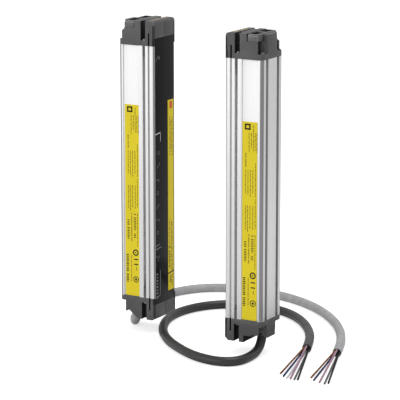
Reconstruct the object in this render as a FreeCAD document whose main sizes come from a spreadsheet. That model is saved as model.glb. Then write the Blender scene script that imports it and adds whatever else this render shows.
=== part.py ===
"""Safety light curtain: an emitter bar and a receiver bar, each with its cable.

Frame: origin at the middle of the emitter's flat back, +X out of its window, +Z up.
The receiver faces back along -X. Lengths are millimetres.
"""
import FreeCAD, Part
import Sketcher
import math
import os
from types import SimpleNamespace

os.makedirs("parts", exist_ok=True)
doc = FreeCAD.newDocument("safety_light_curtain")
sheet = doc.addObject("Spreadsheet::Sheet", "Sizes")

# Driving dimensions
DIMENSIONS = {
    "depth": 30.0,
    "width": 30.0,
    "bar_length": 225.0,
    "top_cap_height": 18.3,
    "bottom_cap_height": 16.7,
    "front_gap": 71.0,
    "receiver_offset": -20.0,
    "window_thickness": 1.7,
    "window_inset": 0.3,
    "window_bevel": 0.5,
    "window_over_top": 5.8,
    "window_over_bottom": 4.8,
    "seal_width": 1.4,
    "seal_height": 0.8,
    "seal_side": 3.1,
    "corner_radius": 2.5,
    "trim_groove_place": 4.5,
    "trim_groove_width": 1.4,
    "trim_groove_depth": 1.1,
    "side_mouth_place": 8.7,
    "side_mouth_width": 2.2,
    "side_lip": 1.2,
    "side_chamber_place": 9.3,
    "side_chamber_width": 4.2,
    "side_chamber_depth": 3.1,
    "label_recess_front": 13.3,
    "label_recess_rear": 3.5,
    "label_recess_depth": 0.8,
    "rear_groove_side": 8.6,
    "rear_mouth_width": 3.5,
    "rear_lip": 1.9,
    "rear_chamber_width": 5.6,
    "rear_chamber_depth": 3.1,
    "optic_wall": 5.7,
    "shoulder_place": 12.4,
    "board_wall": 2.2,
    "cavity_rear": 6.5,
    "running_gap": 0.3,
    "fit_gap": 0.1,
    "board_thickness": 1.6,
    "chip_height": 2.4,
    "carrier_end_gap": 3.0,
    "beam_count": 8.0,
    "beam_pitch": 20.0,
    "carrier_wall": 2.0,
    "seat_wall": 2.4,
    "lens_margin": 1.0,
    "light_margin": 0.4,
    "lens_bulge": 1.8,
    "lens_plate": 1.2,
    "diode_side": 3.2,
    "diode_height": 2.1,
    "guide_wall": 0.6,
    "guide_radius": 0.7,
    "guide_top": 15.5,
    "guide_pitch": 10.0,
    "guide_count": 8.0,
    "plate_thickness": 3.7,
    "gasket_thickness": 0.5,
    "gasket_web": 0.4,
    "gasket_front": 1.0,
    "cap_edge_radius": 2.4,
    "channel_front": 7.3,
    "channel_rear": 11.5,
    "channel_depth": 4.9,
    "cross_groove_rear": 9.0,
    "cross_groove_depth": 1.0,
    "slot_height": 9.5,
    "slot_depth": 2.4,
    "rear_step_low": 2.7,
    "rear_step_high": 4.5,
    "rear_step_height": 10.5,
    "step_slant": 1.1,
    "rear_channel_depth": 6.2,
    "rear_channel_wall": 1.2,
    "rear_channel_side": 8.1,
    "spine_inset": 9.0,
    "spine_drop": 0.9,
    "notch_front": 13.1,
    "notch_rear": 4.0,
    "notch_depth": 5.6,
    "outlet_front": 14.9,
    "outlet_apex": 7.5,
    "outlet_depth": 5.8,
    "outlet_rise": 3.0,
    "outlet_margin": 0.5,
    "lip_place": 3.6,
    "lip_rise": 1.9,
    "ledge_place": 8.8,
    "ledge_rise": 0.6,
    "seam_width": 0.5,
    "seam_depth": 0.3,
    "top_tongue": 6.0,
    "bottom_tongue": 7.5,
    "insert_gap": 0.25,
    "insert_front": 12.3,
    "insert_step": 3.9,
    "insert_shoulder": 0.8,
    "insert_round": 1.2,
    "screw_shank": 1.4,
    "screw_hole": 1.6,
    "screw_head": 1.9,
    "screw_head_height": 1.5,
    "screw_bite": 7.0,
    "label_thickness": 0.2,
    "label_rear": 4.4,
    "label_top": 48.6,
    "strip_side": 1.2,
    "strip_width": 9.3,
    "strip_top": 51.8,
    "strip_bottom": 93.3,
    "sticker_front": 2.8,
    "sticker_rear": 6.9,
    "sticker_side": 3.5,
    "cable_radius": 3.4,
    "cable_place": 7.0,
    "cable_entry": 5.0,
    "grommet_wall": 1.3,
    "grommet_margin": 2.8,
    "floor_drop": 10.3,
    "wire_radius": 0.65,
    "wire_ring": 1.9,
}
for row, (alias, number) in enumerate(DIMENSIONS.items(), start=1):
    sheet.set(f"A{row}", alias)
    sheet.set(f"B{row}", str(number))
    sheet.setAlias(f"B{row}", alias)
doc.recompute()


class Length:
    """A size with its number and the formula that binds it to the sheet."""

    def __init__(self, value, text):
        self.value = value
        self.text = text

    def __add__(self, other):
        other = as_length(other)
        return Length(self.value + other.value, f"({self.text} + {other.text})")

    def __sub__(self, other):
        other = as_length(other)
        return Length(self.value - other.value, f"({self.text} - {other.text})")

    def __mul__(self, other):
        other = as_length(other)
        return Length(self.value * other.value, f"({self.text} * {other.text})")

    def __truediv__(self, other):
        other = as_length(other)
        return Length(self.value / other.value, f"({self.text} / {other.text})")

    def __neg__(self):
        return Length(-self.value, f"(-1 * {self.text})")

    __radd__ = __add__
    __rmul__ = __mul__

    def __rsub__(self, other):
        return as_length(other) - self


def as_length(number):
    """Return a plain number as a Length."""
    if isinstance(number, Length):
        return number
    return Length(float(number), f"({float(number)})")


size = SimpleNamespace(
    **{alias: Length(float(sheet.get(alias)), f"Sizes.{alias}") for alias in DIMENSIONS}
)

# Places that several pieces share
half_width = size.width / 2
profile_top = size.bar_length / 2 - size.top_cap_height
profile_bottom = size.bottom_cap_height - size.bar_length / 2
window_back = size.depth - size.window_thickness
shoulder = size.depth - size.shoulder_place
board_rear = shoulder - size.running_gap - size.board_thickness
board_front = board_rear + size.board_thickness
optic_half = half_width - size.optic_wall
optic_room = optic_half - size.running_gap
board_half = half_width - size.board_wall
seat_half = optic_room - size.seat_wall
lens_half = seat_half - size.lens_margin
light_half = lens_half - size.light_margin
guide_side = optic_room - size.guide_wall - size.guide_radius
seal_place = half_width - size.seal_side
carrier_top = profile_top - size.carrier_end_gap
carrier_bottom = profile_bottom + size.carrier_end_gap
carrier_front = window_back - size.running_gap
beam_span = (size.beam_count - 1) * size.beam_pitch
beam_middle = (profile_top + profile_bottom) / 2
first_beam = beam_middle - beam_span / 2
recess_floor = half_width - size.label_recess_depth
rear_inner = half_width - size.rear_groove_side
side_screw_x = size.depth - size.side_chamber_place
side_screw_y = half_width - size.side_lip - size.side_chamber_depth / 2
rear_screw_x = size.rear_lip + size.rear_chamber_depth / 2
rear_screw_y = rear_inner + size.rear_chamber_width / 2
spine = half_width - size.spine_inset
floor_height = -(size.bar_length / 2) - size.floor_drop

# How far a cut runs past the face that it opens, and how closely two lengths agree
OVERCUT = 1.0
TOLERANCE = 1e-4


def bind(thing, prop, length):
    """Bind one property of an object to the sheet."""
    thing.setExpression(prop, as_length(length).text)


def new_body(label):
    """Start a body for one piece."""
    body = doc.addObject("PartDesign::Body", label)
    body.Label = label
    return body


def attach(body, name, role, start):
    """Make a sketch on an origin plane of a body, moved along the plane's normal."""
    plane = next(f for f in body.Origin.OriginFeatures if f.Role == role)
    sketch = body.newObject("Sketcher::SketchObject", name)
    sketch.AttachmentSupport = (plane, [""])
    sketch.MapMode = "FlatFace"
    bind(sketch, "AttachmentOffset.Base.z", start)
    return sketch


def place_point(sketch, geometry, position, point):
    """Fix one point of a sketch at a place bound to the sheet."""
    for kind, length in zip(("DistanceX", "DistanceY"), point):
        length = as_length(length)
        index = sketch.addConstraint(
            Sketcher.Constraint(kind, -1, 1, geometry, position, length.value)
        )
        sketch.setExpression(f"Constraints[{index}]", length.text)


def draw_polygon(sketch, points):
    """Add a closed outline of straight edges."""
    points = [(as_length(u), as_length(v)) for u, v in points]
    corners = [FreeCAD.Vector(u.value, v.value, 0) for u, v in points]
    base = sketch.GeometryCount
    count = len(corners)
    for index, corner in enumerate(corners):
        sketch.addGeometry(Part.LineSegment(corner, corners[(index + 1) % count]), False)
    for index in range(count):
        following = base + (index + 1) % count
        sketch.addConstraint(Sketcher.Constraint("Coincident", base + index, 2, following, 1))
        place_point(sketch, base + index, 1, points[index])


def draw_circle(sketch, centre, radius):
    """Add a circle whose centre and radius are bound to the sheet."""
    u, v = (as_length(part) for part in centre)
    radius = as_length(radius)
    middle = FreeCAD.Vector(u.value, v.value, 0)
    upward = FreeCAD.Vector(0, 0, 1)
    index = sketch.addGeometry(Part.Circle(middle, upward, radius.value), False)
    place_point(sketch, index, 3, (u, v))
    constraint = sketch.addConstraint(Sketcher.Constraint("Radius", index, radius.value))
    sketch.setExpression(f"Constraints[{constraint}]", radius.text)


def rectangle(u_low, u_high, v_low, v_high):
    """Return the corners of a rectangle."""
    return [(u_low, v_low), (u_high, v_low), (u_high, v_high), (u_low, v_high)]


def both_sides(points):
    """Return an outline and its mirror image across the bar's middle plane."""
    return [points, [(u, -as_length(v)) for u, v in reversed(points)]]


def shape_prism(body, kind, name, role, start, depth, polygons=(), circles=(), across=False):
    """Pad or pocket outlines along the plane's normal, or evenly about the plane."""
    sketch = attach(body, name + "_sketch", role, start)
    for points in polygons:
        draw_polygon(sketch, points)
    for centre, radius in circles:
        draw_circle(sketch, centre, radius)
    feature = body.newObject("PartDesign::" + kind, name)
    feature.Profile = sketch
    if across:
        feature.SideType = "Symmetric"
    else:
        feature.Reversed = kind == "Pocket"
    bind(feature, "Length", depth)
    return feature


def edges_where(feature, test, axis):
    """Return the names of a feature's edges along an axis, x, y or z, whose ends pass a test."""
    doc.recompute()
    names = []
    for number, edge in enumerate(feature.Shape.Edges, start=1):
        ends = [vertex.Point for vertex in edge.Vertexes]
        along = abs(getattr(ends[-1], axis) - getattr(ends[0], axis))
        if near(along, edge.Length) and all(test(point) for point in ends):
            names.append(f"Edge{number}")
    return names


def near(value, length):
    """Say whether a coordinate lies at a place."""
    return abs(value - as_length(length).value) < TOLERANCE


def round_edges(body, name, axis, test, radius, kind="Fillet"):
    """Fillet or chamfer the newest feature's edges along an axis that pass a test."""
    base = body.Tip
    names = edges_where(base, test, axis)
    feature = body.newObject("PartDesign::" + kind, name)
    feature.Base = (base, names)
    bind(feature, "Radius" if kind == "Fillet" else "Size", radius)
    return feature


def group(label, solids):
    """Gather separate solids of one kind in one piece."""
    piece = doc.addObject("Part::Feature", label)
    piece.Label = label
    piece.Shape = Part.Compound(solids)
    return piece


# The extruded aluminium profile
def make_profile(label):
    """Extrude the channel and cut its grooves, recesses and inner room."""
    body = new_body(label)
    length = profile_top - profile_bottom
    shape_prism(
        body, "Pad", "blank", "XY_Plane", profile_bottom, length,
        [rectangle(0, window_back, -half_width, half_width)],
    )
    round_edges(
        body, "rear_corners", "z",
        lambda p: near(p.x, 0) and near(abs(p.y), half_width), size.corner_radius,
    )
    cuts = {
        "trim_grooves": rectangle(
            size.depth - size.trim_groove_place - size.trim_groove_width / 2,
            size.depth - size.trim_groove_place + size.trim_groove_width / 2,
            half_width - size.trim_groove_depth, half_width + OVERCUT,
        ),
        "side_mouths": rectangle(
            size.depth - size.side_mouth_place - size.side_mouth_width / 2,
            size.depth - size.side_mouth_place + size.side_mouth_width / 2,
            half_width - size.side_lip - size.fit_gap, half_width + OVERCUT,
        ),
        "side_chambers": rectangle(
            side_screw_x - size.side_chamber_width / 2,
            side_screw_x + size.side_chamber_width / 2,
            half_width - size.side_lip - size.side_chamber_depth, half_width - size.side_lip,
        ),
        "label_recesses": rectangle(
            size.label_recess_rear, size.depth - size.label_recess_front,
            recess_floor, half_width + OVERCUT,
        ),
        "rear_mouths": rectangle(
            -OVERCUT, size.rear_lip + size.fit_gap,
            rear_inner, rear_inner + size.rear_mouth_width,
        ),
        "rear_chambers": rectangle(
            size.rear_lip, size.rear_lip + size.rear_chamber_depth,
            rear_inner, rear_inner + size.rear_chamber_width,
        ),
        "seal_grooves": rectangle(
            window_back - size.seal_height, window_back + OVERCUT,
            seal_place - size.seal_width / 2, seal_place + size.seal_width / 2,
        ),
    }
    for name, points in cuts.items():
        shape_prism(
            body, "Pocket", name, "XY_Plane", profile_bottom, length, both_sides(points)
        )
    inner_room = [
        (size.cavity_rear, -board_half), (shoulder, -board_half),
        (shoulder, -optic_half), (size.depth, -optic_half),
        (size.depth, optic_half), (shoulder, optic_half),
        (shoulder, board_half), (size.cavity_rear, board_half),
    ]
    shape_prism(body, "Pocket", "inner_room", "XY_Plane", profile_bottom, length, [inner_room])
    return body


# The front window and what lies behind it
def make_window(label):
    """Make the dark front screen, which laps over both caps."""
    body = new_body(label)
    bottom = profile_bottom - size.window_over_bottom
    edge = half_width - size.window_inset
    shape_prism(
        body, "Pad", "screen", "XY_Plane", bottom,
        profile_top + size.window_over_top - bottom,
        [rectangle(window_back, size.depth, -edge, edge)],
    )
    round_edges(
        body, "edge_bevels", "z",
        lambda p: near(p.x, size.depth) and near(abs(p.y), edge), size.window_bevel, "Chamfer",
    )
    return body


def make_seal(label):
    """Make the two rubber strips in the grooves behind the window."""
    low = (window_back - size.seal_height).value
    inner = (seal_place - size.seal_width / 2).value
    bottom = profile_bottom.value
    height = (profile_top - profile_bottom).value
    width = size.seal_width.value
    strips = []
    for side in (inner, -inner - width):
        corner = FreeCAD.Vector(low, side, bottom)
        strips.append(Part.makeBox(size.seal_height.value, width, height, corner))
    return group(label, strips)


def make_carrier(label):
    """Make the black moulding that holds the lenses and keeps the beams apart."""
    body = new_body(label)
    shape_prism(
        body, "Pad", "moulding", "XY_Plane", carrier_bottom, carrier_top - carrier_bottom,
        [rectangle(board_front, carrier_front, -optic_room, optic_room)],
    )
    seat_depth = size.lens_plate + size.lens_bulge
    shape_prism(
        body, "Pocket", "strip_seat", "YZ_Plane",
        carrier_front - seat_depth, seat_depth + OVERCUT,
        [rectangle(
            -seat_half, seat_half,
            carrier_bottom + size.carrier_wall, carrier_top - size.carrier_wall,
        )],
    )
    room = light_half
    chamber = shape_prism(
        body, "Pocket", "light_chamber", "YZ_Plane", board_front - OVERCUT,
        carrier_front - board_front + 2 * OVERCUT,
        [rectangle(-room, room, first_beam - room, first_beam + room)],
    )
    guide = shape_prism(
        body, "Pocket", "guide_hole", "YZ_Plane", board_front - OVERCUT,
        carrier_front - board_front + 2 * OVERCUT,
        [rectangle(
            -guide_side - size.guide_radius, -guide_side + size.guide_radius,
            size.guide_top - size.guide_radius, size.guide_top + size.guide_radius,
        )],
    )
    repeat(body, "light_chambers", chamber, beam_span, size.beam_count, upward=True)
    guide_span = (size.guide_count - 1) * size.guide_pitch
    repeat(body, "guide_holes", guide, guide_span, size.guide_count, upward=False)
    return body


def repeat(body, name, feature, span, count, upward):
    """Repeat a feature along the bar."""
    doc.recompute()
    axis = next(f for f in body.Origin.OriginFeatures if f.Role == "Z_Axis")
    pattern = body.newObject("PartDesign::LinearPattern", name)
    pattern.Originals = [feature]
    pattern.Direction = (axis, [""])
    pattern.Reversed = not upward
    bind(pattern, "Length", span)
    bind(pattern, "Occurrences", count)
    body.Tip = pattern
    return pattern


def beam_heights():
    """Return the height of each beam."""
    count = round(size.beam_count.value)
    return [first_beam.value + index * size.beam_pitch.value for index in range(count)]


def make_lens_strip(label):
    """Make the clear strip with one raised square lens for each beam."""
    body = new_body(label)
    gap = size.running_gap / 2
    back = carrier_front - size.lens_plate - size.lens_bulge
    half = seat_half - gap
    low = carrier_bottom + size.carrier_wall + gap
    high = carrier_top - size.carrier_wall - gap
    shape_prism(
        body, "Pad", "strip", "YZ_Plane", back, size.lens_plate, [rectangle(-half, half, low, high)]
    )
    side = lens_half
    lens = shape_prism(
        body, "Pad", "lens", "YZ_Plane", back + size.lens_plate, size.lens_bulge - gap,
        [rectangle(-side, side, first_beam - side, first_beam + side)],
    )
    repeat(body, "lenses", lens, beam_span, size.beam_count, upward=True)
    return body


def make_diodes(label):
    """Make the infrared diodes that stand on the board behind the lenses."""
    side = size.diode_side.value
    front = board_front.value
    solids = []
    for beam in beam_heights():
        corner = FreeCAD.Vector(front, -side / 2, beam - side / 2)
        solids.append(Part.makeBox(size.diode_height.value, side, side, corner))
    return group(label, solids)


def make_light_guides(label):
    """Make the small clear rods that lead the status lights to the window."""
    side = 2 * size.guide_radius.value - size.fit_gap.value
    reach = (window_back - board_front).value
    solids = []
    for index in range(round(size.guide_count.value)):
        height = size.guide_top.value - index * size.guide_pitch.value
        corner = FreeCAD.Vector(
            board_front.value, -guide_side.value - side / 2, height - side / 2
        )
        solids.append(Part.makeBox(reach, side, side, corner))
    return group(label, solids)


def make_board(label):
    """Make the long circuit board behind the optics."""
    body = new_body(label)
    edge = board_half - size.running_gap
    shape_prism(
        body, "Pad", "laminate", "XY_Plane", carrier_bottom, carrier_top - carrier_bottom,
        [rectangle(board_rear, board_front, -edge, edge)],
    )
    return body


def make_chips(label, chips):
    """Make the chips on the back of the board, each given as height, breadth and length."""
    height = size.chip_height.value
    solids = []
    for place, breadth, length in chips:
        corner = FreeCAD.Vector(board_rear.value - height, -breadth / 2, place - length / 2)
        solids.append(Part.makeBox(height, breadth, length, corner))
    return group(label, solids)


# The end caps, drawn upright with the profile's end at height zero
def screw_spots():
    """Return the centres of a cap's four screws."""
    return [
        (side_screw_x, side_screw_y),
        (side_screw_x, -side_screw_y),
        (rear_screw_x, rear_screw_y),
        (rear_screw_x, -rear_screw_y),
    ]


def gasket_outline(inset):
    """Return the outline that covers the profile's inner room and misses the screws."""
    web = size.gasket_web + inset
    wide = board_half + size.gasket_web - inset
    narrow = side_screw_y - size.screw_hole - web
    rear = rear_screw_x + size.screw_hole + web
    step = side_screw_x - size.screw_hole - web
    front = window_back - size.gasket_front - inset
    return [
        (rear, -wide), (step, -wide), (step, -narrow), (front, -narrow),
        (front, narrow), (step, narrow), (step, wide), (rear, wide),
    ]


def make_cap(label, height, window_lap, tongue_length, cable_outlet):
    """Make an end cap with its screw channels, rear steps and notch."""
    body = new_body(label)
    deep = size.depth
    step_low = size.rear_step_low
    step_high = size.rear_step_high
    side_view = [
        (window_back, 0), (window_back, window_lap), (deep, window_lap), (deep, height),
        (step_high, height), (step_high, size.rear_step_height + size.step_slant),
        (step_low, size.rear_step_height), (step_low, size.plate_thickness + size.step_slant),
        (0, size.plate_thickness), (0, 0),
    ]
    shape_prism(
        body, "Pad", "block", "XZ_Plane", 0, size.width, [side_view], across=True
    )
    round_edges(
        body, "plate_corners", "z",
        lambda p: near(p.x, 0) and near(abs(p.y), half_width), size.corner_radius,
    )
    round_edges(
        body, "front_edge", "y", lambda p: near(p.x, deep) and near(p.z, height),
        size.cap_edge_radius, "Chamfer" if cable_outlet else "Fillet",
    )
    shape_prism(
        body, "Pad", "spine", "XY_Plane", size.gasket_thickness,
        height - size.gasket_thickness - size.spine_drop,
        [rectangle(0, step_high + OVERCUT, -spine, spine)],
    )
    channel = rectangle(
        deep - size.channel_rear, deep - size.channel_front,
        half_width - size.channel_depth, half_width + OVERCUT,
    )
    shape_prism(
        body, "Pocket", "screw_channels", "XY_Plane", size.plate_thickness, height,
        both_sides(channel),
    )
    rear_channel = rectangle(
        -OVERCUT, size.rear_channel_depth,
        half_width - size.rear_channel_side, half_width - size.rear_channel_wall,
    )
    shape_prism(
        body, "Pocket", "rear_channels", "XY_Plane", size.plate_thickness, height,
        both_sides(rear_channel),
    )
    straight_side = rectangle(
        -OVERCUT, step_high, half_width - size.rear_channel_side, half_width + OVERCUT
    )
    shape_prism(
        body, "Pocket", "straight_side", "XY_Plane", size.plate_thickness, height,
        [straight_side],
    )
    shape_prism(
        body, "Pocket", "cross_groove", "XZ_Plane", 0, size.width + 2 * OVERCUT,
        [rectangle(
            deep - size.cross_groove_rear, deep - size.channel_front,
            height - size.cross_groove_depth, height + OVERCUT,
        )], across=True,
    )
    slot = rectangle(
        deep - size.trim_groove_place - size.trim_groove_width / 2,
        deep - size.trim_groove_place + size.trim_groove_width / 2,
        half_width - size.slot_depth, half_width + OVERCUT,
    )
    shape_prism(
        body, "Pocket", "side_slots", "XY_Plane", -OVERCUT, size.slot_height + OVERCUT,
        both_sides(slot),
    )
    if cable_outlet:
        cut_outlet(body, height)
    else:
        shape_prism(
            body, "Pocket", "notch", "XZ_Plane", 0, size.width + 2 * OVERCUT,
            [rectangle(
                size.notch_rear, size.notch_front, height - size.notch_depth, height + OVERCUT
            )], across=True,
        )
    seam = size.seam_width / 2
    shape_prism(
        body, "Pocket", "seam", "YZ_Plane", deep - size.seam_depth, size.seam_depth + OVERCUT,
        [rectangle(-seam, seam, window_lap - OVERCUT, height + OVERCUT)],
    )
    shape_prism(
        body, "Pocket", "screw_holes", "XY_Plane", -OVERCUT,
        size.plate_thickness + 2 * OVERCUT,
        circles=[(spot, size.screw_hole) for spot in screw_spots()],
    )
    shape_prism(
        body, "Pocket", "gasket_seat", "XY_Plane", -OVERCUT, size.gasket_thickness + OVERCUT,
        [gasket_outline(0)],
    )
    tongue = rectangle(
        deep - size.side_mouth_place - size.side_mouth_width / 2 + size.fit_gap,
        deep - size.side_mouth_place + size.side_mouth_width / 2 - size.fit_gap,
        half_width - size.side_lip + size.fit_gap, half_width - size.fit_gap,
    )
    shape_prism(
        body, "Pad", "tongues", "XY_Plane", -tongue_length, tongue_length + size.gasket_thickness,
        both_sides(tongue),
    )
    if cable_outlet:
        bore = size.cable_radius + size.grommet_wall
        shape_prism(
            body, "Pocket", "cable_bore", "XY_Plane", -OVERCUT, height + 2 * OVERCUT,
            circles=[((size.cable_place, 0), bore)],
        )
    return body


def cut_outlet(body, height):
    """Cut the bottom cap's notch: open at one side, lipped at the other, a vee in between."""
    rim = height + OVERCUT
    apex = height - size.outlet_depth
    front = size.outlet_front
    lip = apex + size.lip_rise
    middle_cut = [
        (front, height), (size.outlet_apex, apex), (-OVERCUT, apex + size.outlet_rise),
        (-OVERCUT, rim), (front, rim),
    ]
    lipped_cut = [
        (front, height), (size.outlet_apex, apex), (size.lip_place, lip), (-OVERCUT, lip),
        (-OVERCUT, rim), (front, rim),
    ]
    ledge = size.ledge_place
    open_cut = [
        (front, apex + size.ledge_rise), (ledge, apex + size.ledge_rise),
        (ledge - size.ledge_rise, apex - size.ledge_rise), (-OVERCUT, apex - size.ledge_rise),
        (-OVERCUT, rim), (front, rim),
    ]
    edge = spine + size.outlet_margin
    reach = half_width + OVERCUT
    shape_prism(
        body, "Pocket", "outlet", "XZ_Plane", 0, 2 * edge, [middle_cut], across=True
    )
    shape_prism(
        body, "Pocket", "lipped_side", "XZ_Plane", -reach, reach - edge, [lipped_cut]
    )
    shape_prism(body, "Pocket", "open_side", "XZ_Plane", edge, reach - edge, [open_cut])


def make_gasket(label, cable_outlet):
    """Make the flat rubber gasket between a cap and the profile."""
    body = new_body(label)
    shape_prism(
        body, "Pad", "sheet", "XY_Plane", 0, size.gasket_thickness,
        [gasket_outline(size.fit_gap)],
    )
    if cable_outlet:
        bore = size.cable_radius + size.grommet_wall
        shape_prism(
            body, "Pocket", "cable_hole", "XY_Plane", -OVERCUT,
            size.gasket_thickness + 2 * OVERCUT,
            circles=[((size.cable_place, 0), bore)],
        )
    return body


def make_insert(label, height):
    """Make the blanking piece that closes the notch of the top cap."""
    body = new_body(label)
    foot = height - size.notch_depth + size.insert_gap
    rear = size.rear_step_high + size.insert_gap
    top = height - size.insert_gap
    length = size.width - 2 * size.running_gap
    shape_prism(
        body, "Pad", "block", "XZ_Plane", 0, length,
        [rectangle(rear, size.insert_front, foot, foot + size.insert_step)], across=True,
    )
    shape_prism(
        body, "Pad", "crown", "XZ_Plane", 0, length - 2 * size.insert_shoulder,
        [rectangle(rear, size.insert_front, foot, top)], across=True,
    )
    round_edges(
        body, "crown_edge", "y", lambda p: near(p.x, rear) and near(p.z, top),
        size.insert_round,
    )
    return body


def make_screws(label):
    """Make four thread-forming screws, each a head and a shank."""
    shank_length = (size.screw_bite + size.plate_thickness).value
    down = FreeCAD.Vector(0, 0, -1)
    solids = []
    for x, y in screw_spots():
        foot = FreeCAD.Vector(x.value, y.value, size.plate_thickness.value)
        head = Part.makeCylinder(size.screw_head.value, size.screw_head_height.value, foot)
        shank = Part.makeCylinder(size.screw_shank.value, shank_length, foot, down)
        solids.append(head.fuse(shank).removeSplitter().Solids[0])
    return group(label, solids)


def make_grommet(label):
    """Make the rubber bush that the cable passes through in the bottom cap."""
    body = new_body(label)
    outer = size.cable_radius + size.grommet_wall
    lowest = size.bottom_cap_height - size.outlet_depth - size.grommet_margin
    centre = (size.cable_place, 0)
    shape_prism(
        body, "Pad", "bush", "XY_Plane", 0, lowest,
        circles=[(centre, outer), (centre, size.cable_radius)],
    )
    return body


# Labels
def make_side_label(label, side):
    """Make the long label in the side recess that faces the viewer."""
    body = new_body(label)
    low = recess_floor if side > 0 else -recess_floor - size.label_thickness
    bottom = profile_bottom + size.running_gap
    shape_prism(
        body, "Pad", "film", "XY_Plane", bottom, size.label_top - bottom,
        [rectangle(
            size.label_rear,
            size.depth - size.label_recess_front - size.running_gap,
            low, low + size.label_thickness,
        )],
    )
    return body


def make_front_label(label):
    """Make the narrow label on the window."""
    body = new_body(label)
    shape_prism(
        body, "Pad", "film", "XY_Plane", -size.strip_bottom, size.strip_top + size.strip_bottom,
        [rectangle(
            size.depth, size.depth + size.label_thickness,
            half_width - size.strip_side - size.strip_width, half_width - size.strip_side,
        )],
    )
    return body


def make_sticker(label):
    """Make the small foil sticker on the front block of the top cap."""
    body = new_body(label)
    shape_prism(
        body, "Pad", "film", "XY_Plane", size.bar_length / 2, size.label_thickness,
        [rectangle(
            size.depth - size.sticker_rear, size.depth - size.sticker_front,
            size.sticker_side - half_width, half_width - size.sticker_side,
        )],
    )
    return body


# Cables and wires: straight runs joined by tangent arcs, each of which takes the same
# share of the shorter of its two runs
SETBACK_SHARE = 0.45


def rounded_path(points):
    """Return the wire of a route's runs and arcs, and the arcs' radii."""
    edges = []
    radii = []
    start = points[0]
    for before, corner, after in zip(points, points[1:], points[2:]):
        arriving = corner - before
        leaving = after - corner
        turn = arriving.getAngle(leaving)
        setback = SETBACK_SHARE * min(arriving.Length, leaving.Length)
        radius = setback / math.tan(turn / 2)
        arriving.normalize()
        leaving.normalize()
        entry = corner - arriving * setback
        departure = corner + leaving * setback
        inward = leaving - arriving
        inward.normalize()
        middle = corner + inward * (radius / math.cos(turn / 2) - radius)
        edges.append(Part.LineSegment(start, entry).toShape())
        edges.append(Part.Arc(entry, middle, departure).toShape())
        radii.append(radius)
        start = departure
    edges.append(Part.LineSegment(start, points[-1]).toShape())
    return Part.Wire(edges), radii


def make_cord(label, points, radius):
    """Sweep a round section along a route and report its length, volume and bends."""
    path, radii = rounded_path(points)
    circle = Part.Circle(points[0], points[1] - points[0], radius).toShape()
    tube = path.makePipeShell([Part.Wire([circle])], True, False)
    expected = math.pi * radius * radius * path.Length
    listed = ", ".join(f"{value:.1f}" for value in radii)
    print(f"{label}: length {path.Length:.1f}, volume ratio {tube.Volume / expected:.4f}")
    print(f"{label}: arc radii {listed}")
    piece = doc.addObject("Part::Feature", label)
    piece.Label = label
    piece.Shape = tube.Solids[0]
    return piece


def on_floor_plan(x, y, height):
    """Move a route point from the middle between the windows to the part's frame."""
    middle = size.depth.value + size.front_gap.value / 2
    return FreeCAD.Vector(x + middle, y, height + floor_height.value)


def cable_points(receiver, drop, bends, floor_points):
    """Lead a cable down out of its cap, through its bends and over the floor."""
    side = 1 if receiver else -1
    x = side * (size.front_gap.value / 2 + size.depth.value - size.cable_place.value)
    y = size.receiver_offset.value if receiver else 0.0
    inner_end = (profile_bottom - floor_height - size.cable_entry).value
    points = [on_floor_plan(x, y, inner_end), on_floor_plan(x, y, drop)]
    points += [on_floor_plan(*bend) for bend in bends]
    points += [on_floor_plan(u, v, size.cable_radius.value) for u, v in floor_points]
    return points


def wire_points(cable, sideways, upward, tip, on_the_way):
    """Lead a wire straight out of a cable's end and down to the floor."""
    heading = cable[-1] - cable[-2]
    heading.normalize()
    lateral = FreeCAD.Vector(heading.y, -heading.x, 0)
    ring = size.wire_ring.value
    start = cable[-1] + lateral * (sideways * ring) + FreeCAD.Vector(0, 0, upward * ring)
    points = [start, start + heading * WIRE_STUB]
    points += [on_floor_plan(*point) for point in on_the_way]
    points.append(on_floor_plan(*tip, size.wire_radius.value))
    return points


# Routes are counted from the middle between the two windows, on the floor.
# A third number is the height of the centre line above the floor.
WIRE_STUB = 3.6
EMITTER_DROP = 16.0
EMITTER_BENDS = [(-61.4, 0.5, 9.6), (-64.6, 2.6, 4.8)]
EMITTER_FLOOR = [
    (-67.8, 8.4), (-71.8, 19.0), (-77.0, 33.5), (-81.5, 50.0), (-83.6, 67.5),
    (-82.4, 85.5), (-76.2, 103.0), (-65.2, 117.0), (-48.8, 125.6), (-27.5, 127.7),
    (-5.1, 124.2), (16.0, 116.9), (35.9, 105.4), (55.1, 89.7), (73.7, 69.1),
    (88.8, 46.9), (100.7, 23.2), (107.2, 6.2), (110.8, -3.9),
]
RECEIVER_DROP = 14.9
RECEIVER_BENDS = [(58.8, -23.4, 7.6), (59.6, -30.0, 4.2)]
RECEIVER_FLOOR = [
    (60.6, -37.8), (61.3, -47.2), (60.2, -57.8), (53.2, -65.2), (41.2, -66.8),
    (24.2, -61.8), (6.5, -50.6), (-10.9, -36.8), (-26.3, -18.8), (-37.0, -0.6),
    (-44.5, 19.2), (-46.6, 39.2), (-42.7, 58.1), (-32.4, 74.2), (-15.7, 84.5),
    (5.0, 86.3), (25.9, 80.2), (45.0, 66.0), (61.4, 46.5), (74.4, 25.1),
    (82.8, 5.3), (86.9, -5.3),
]
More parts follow.
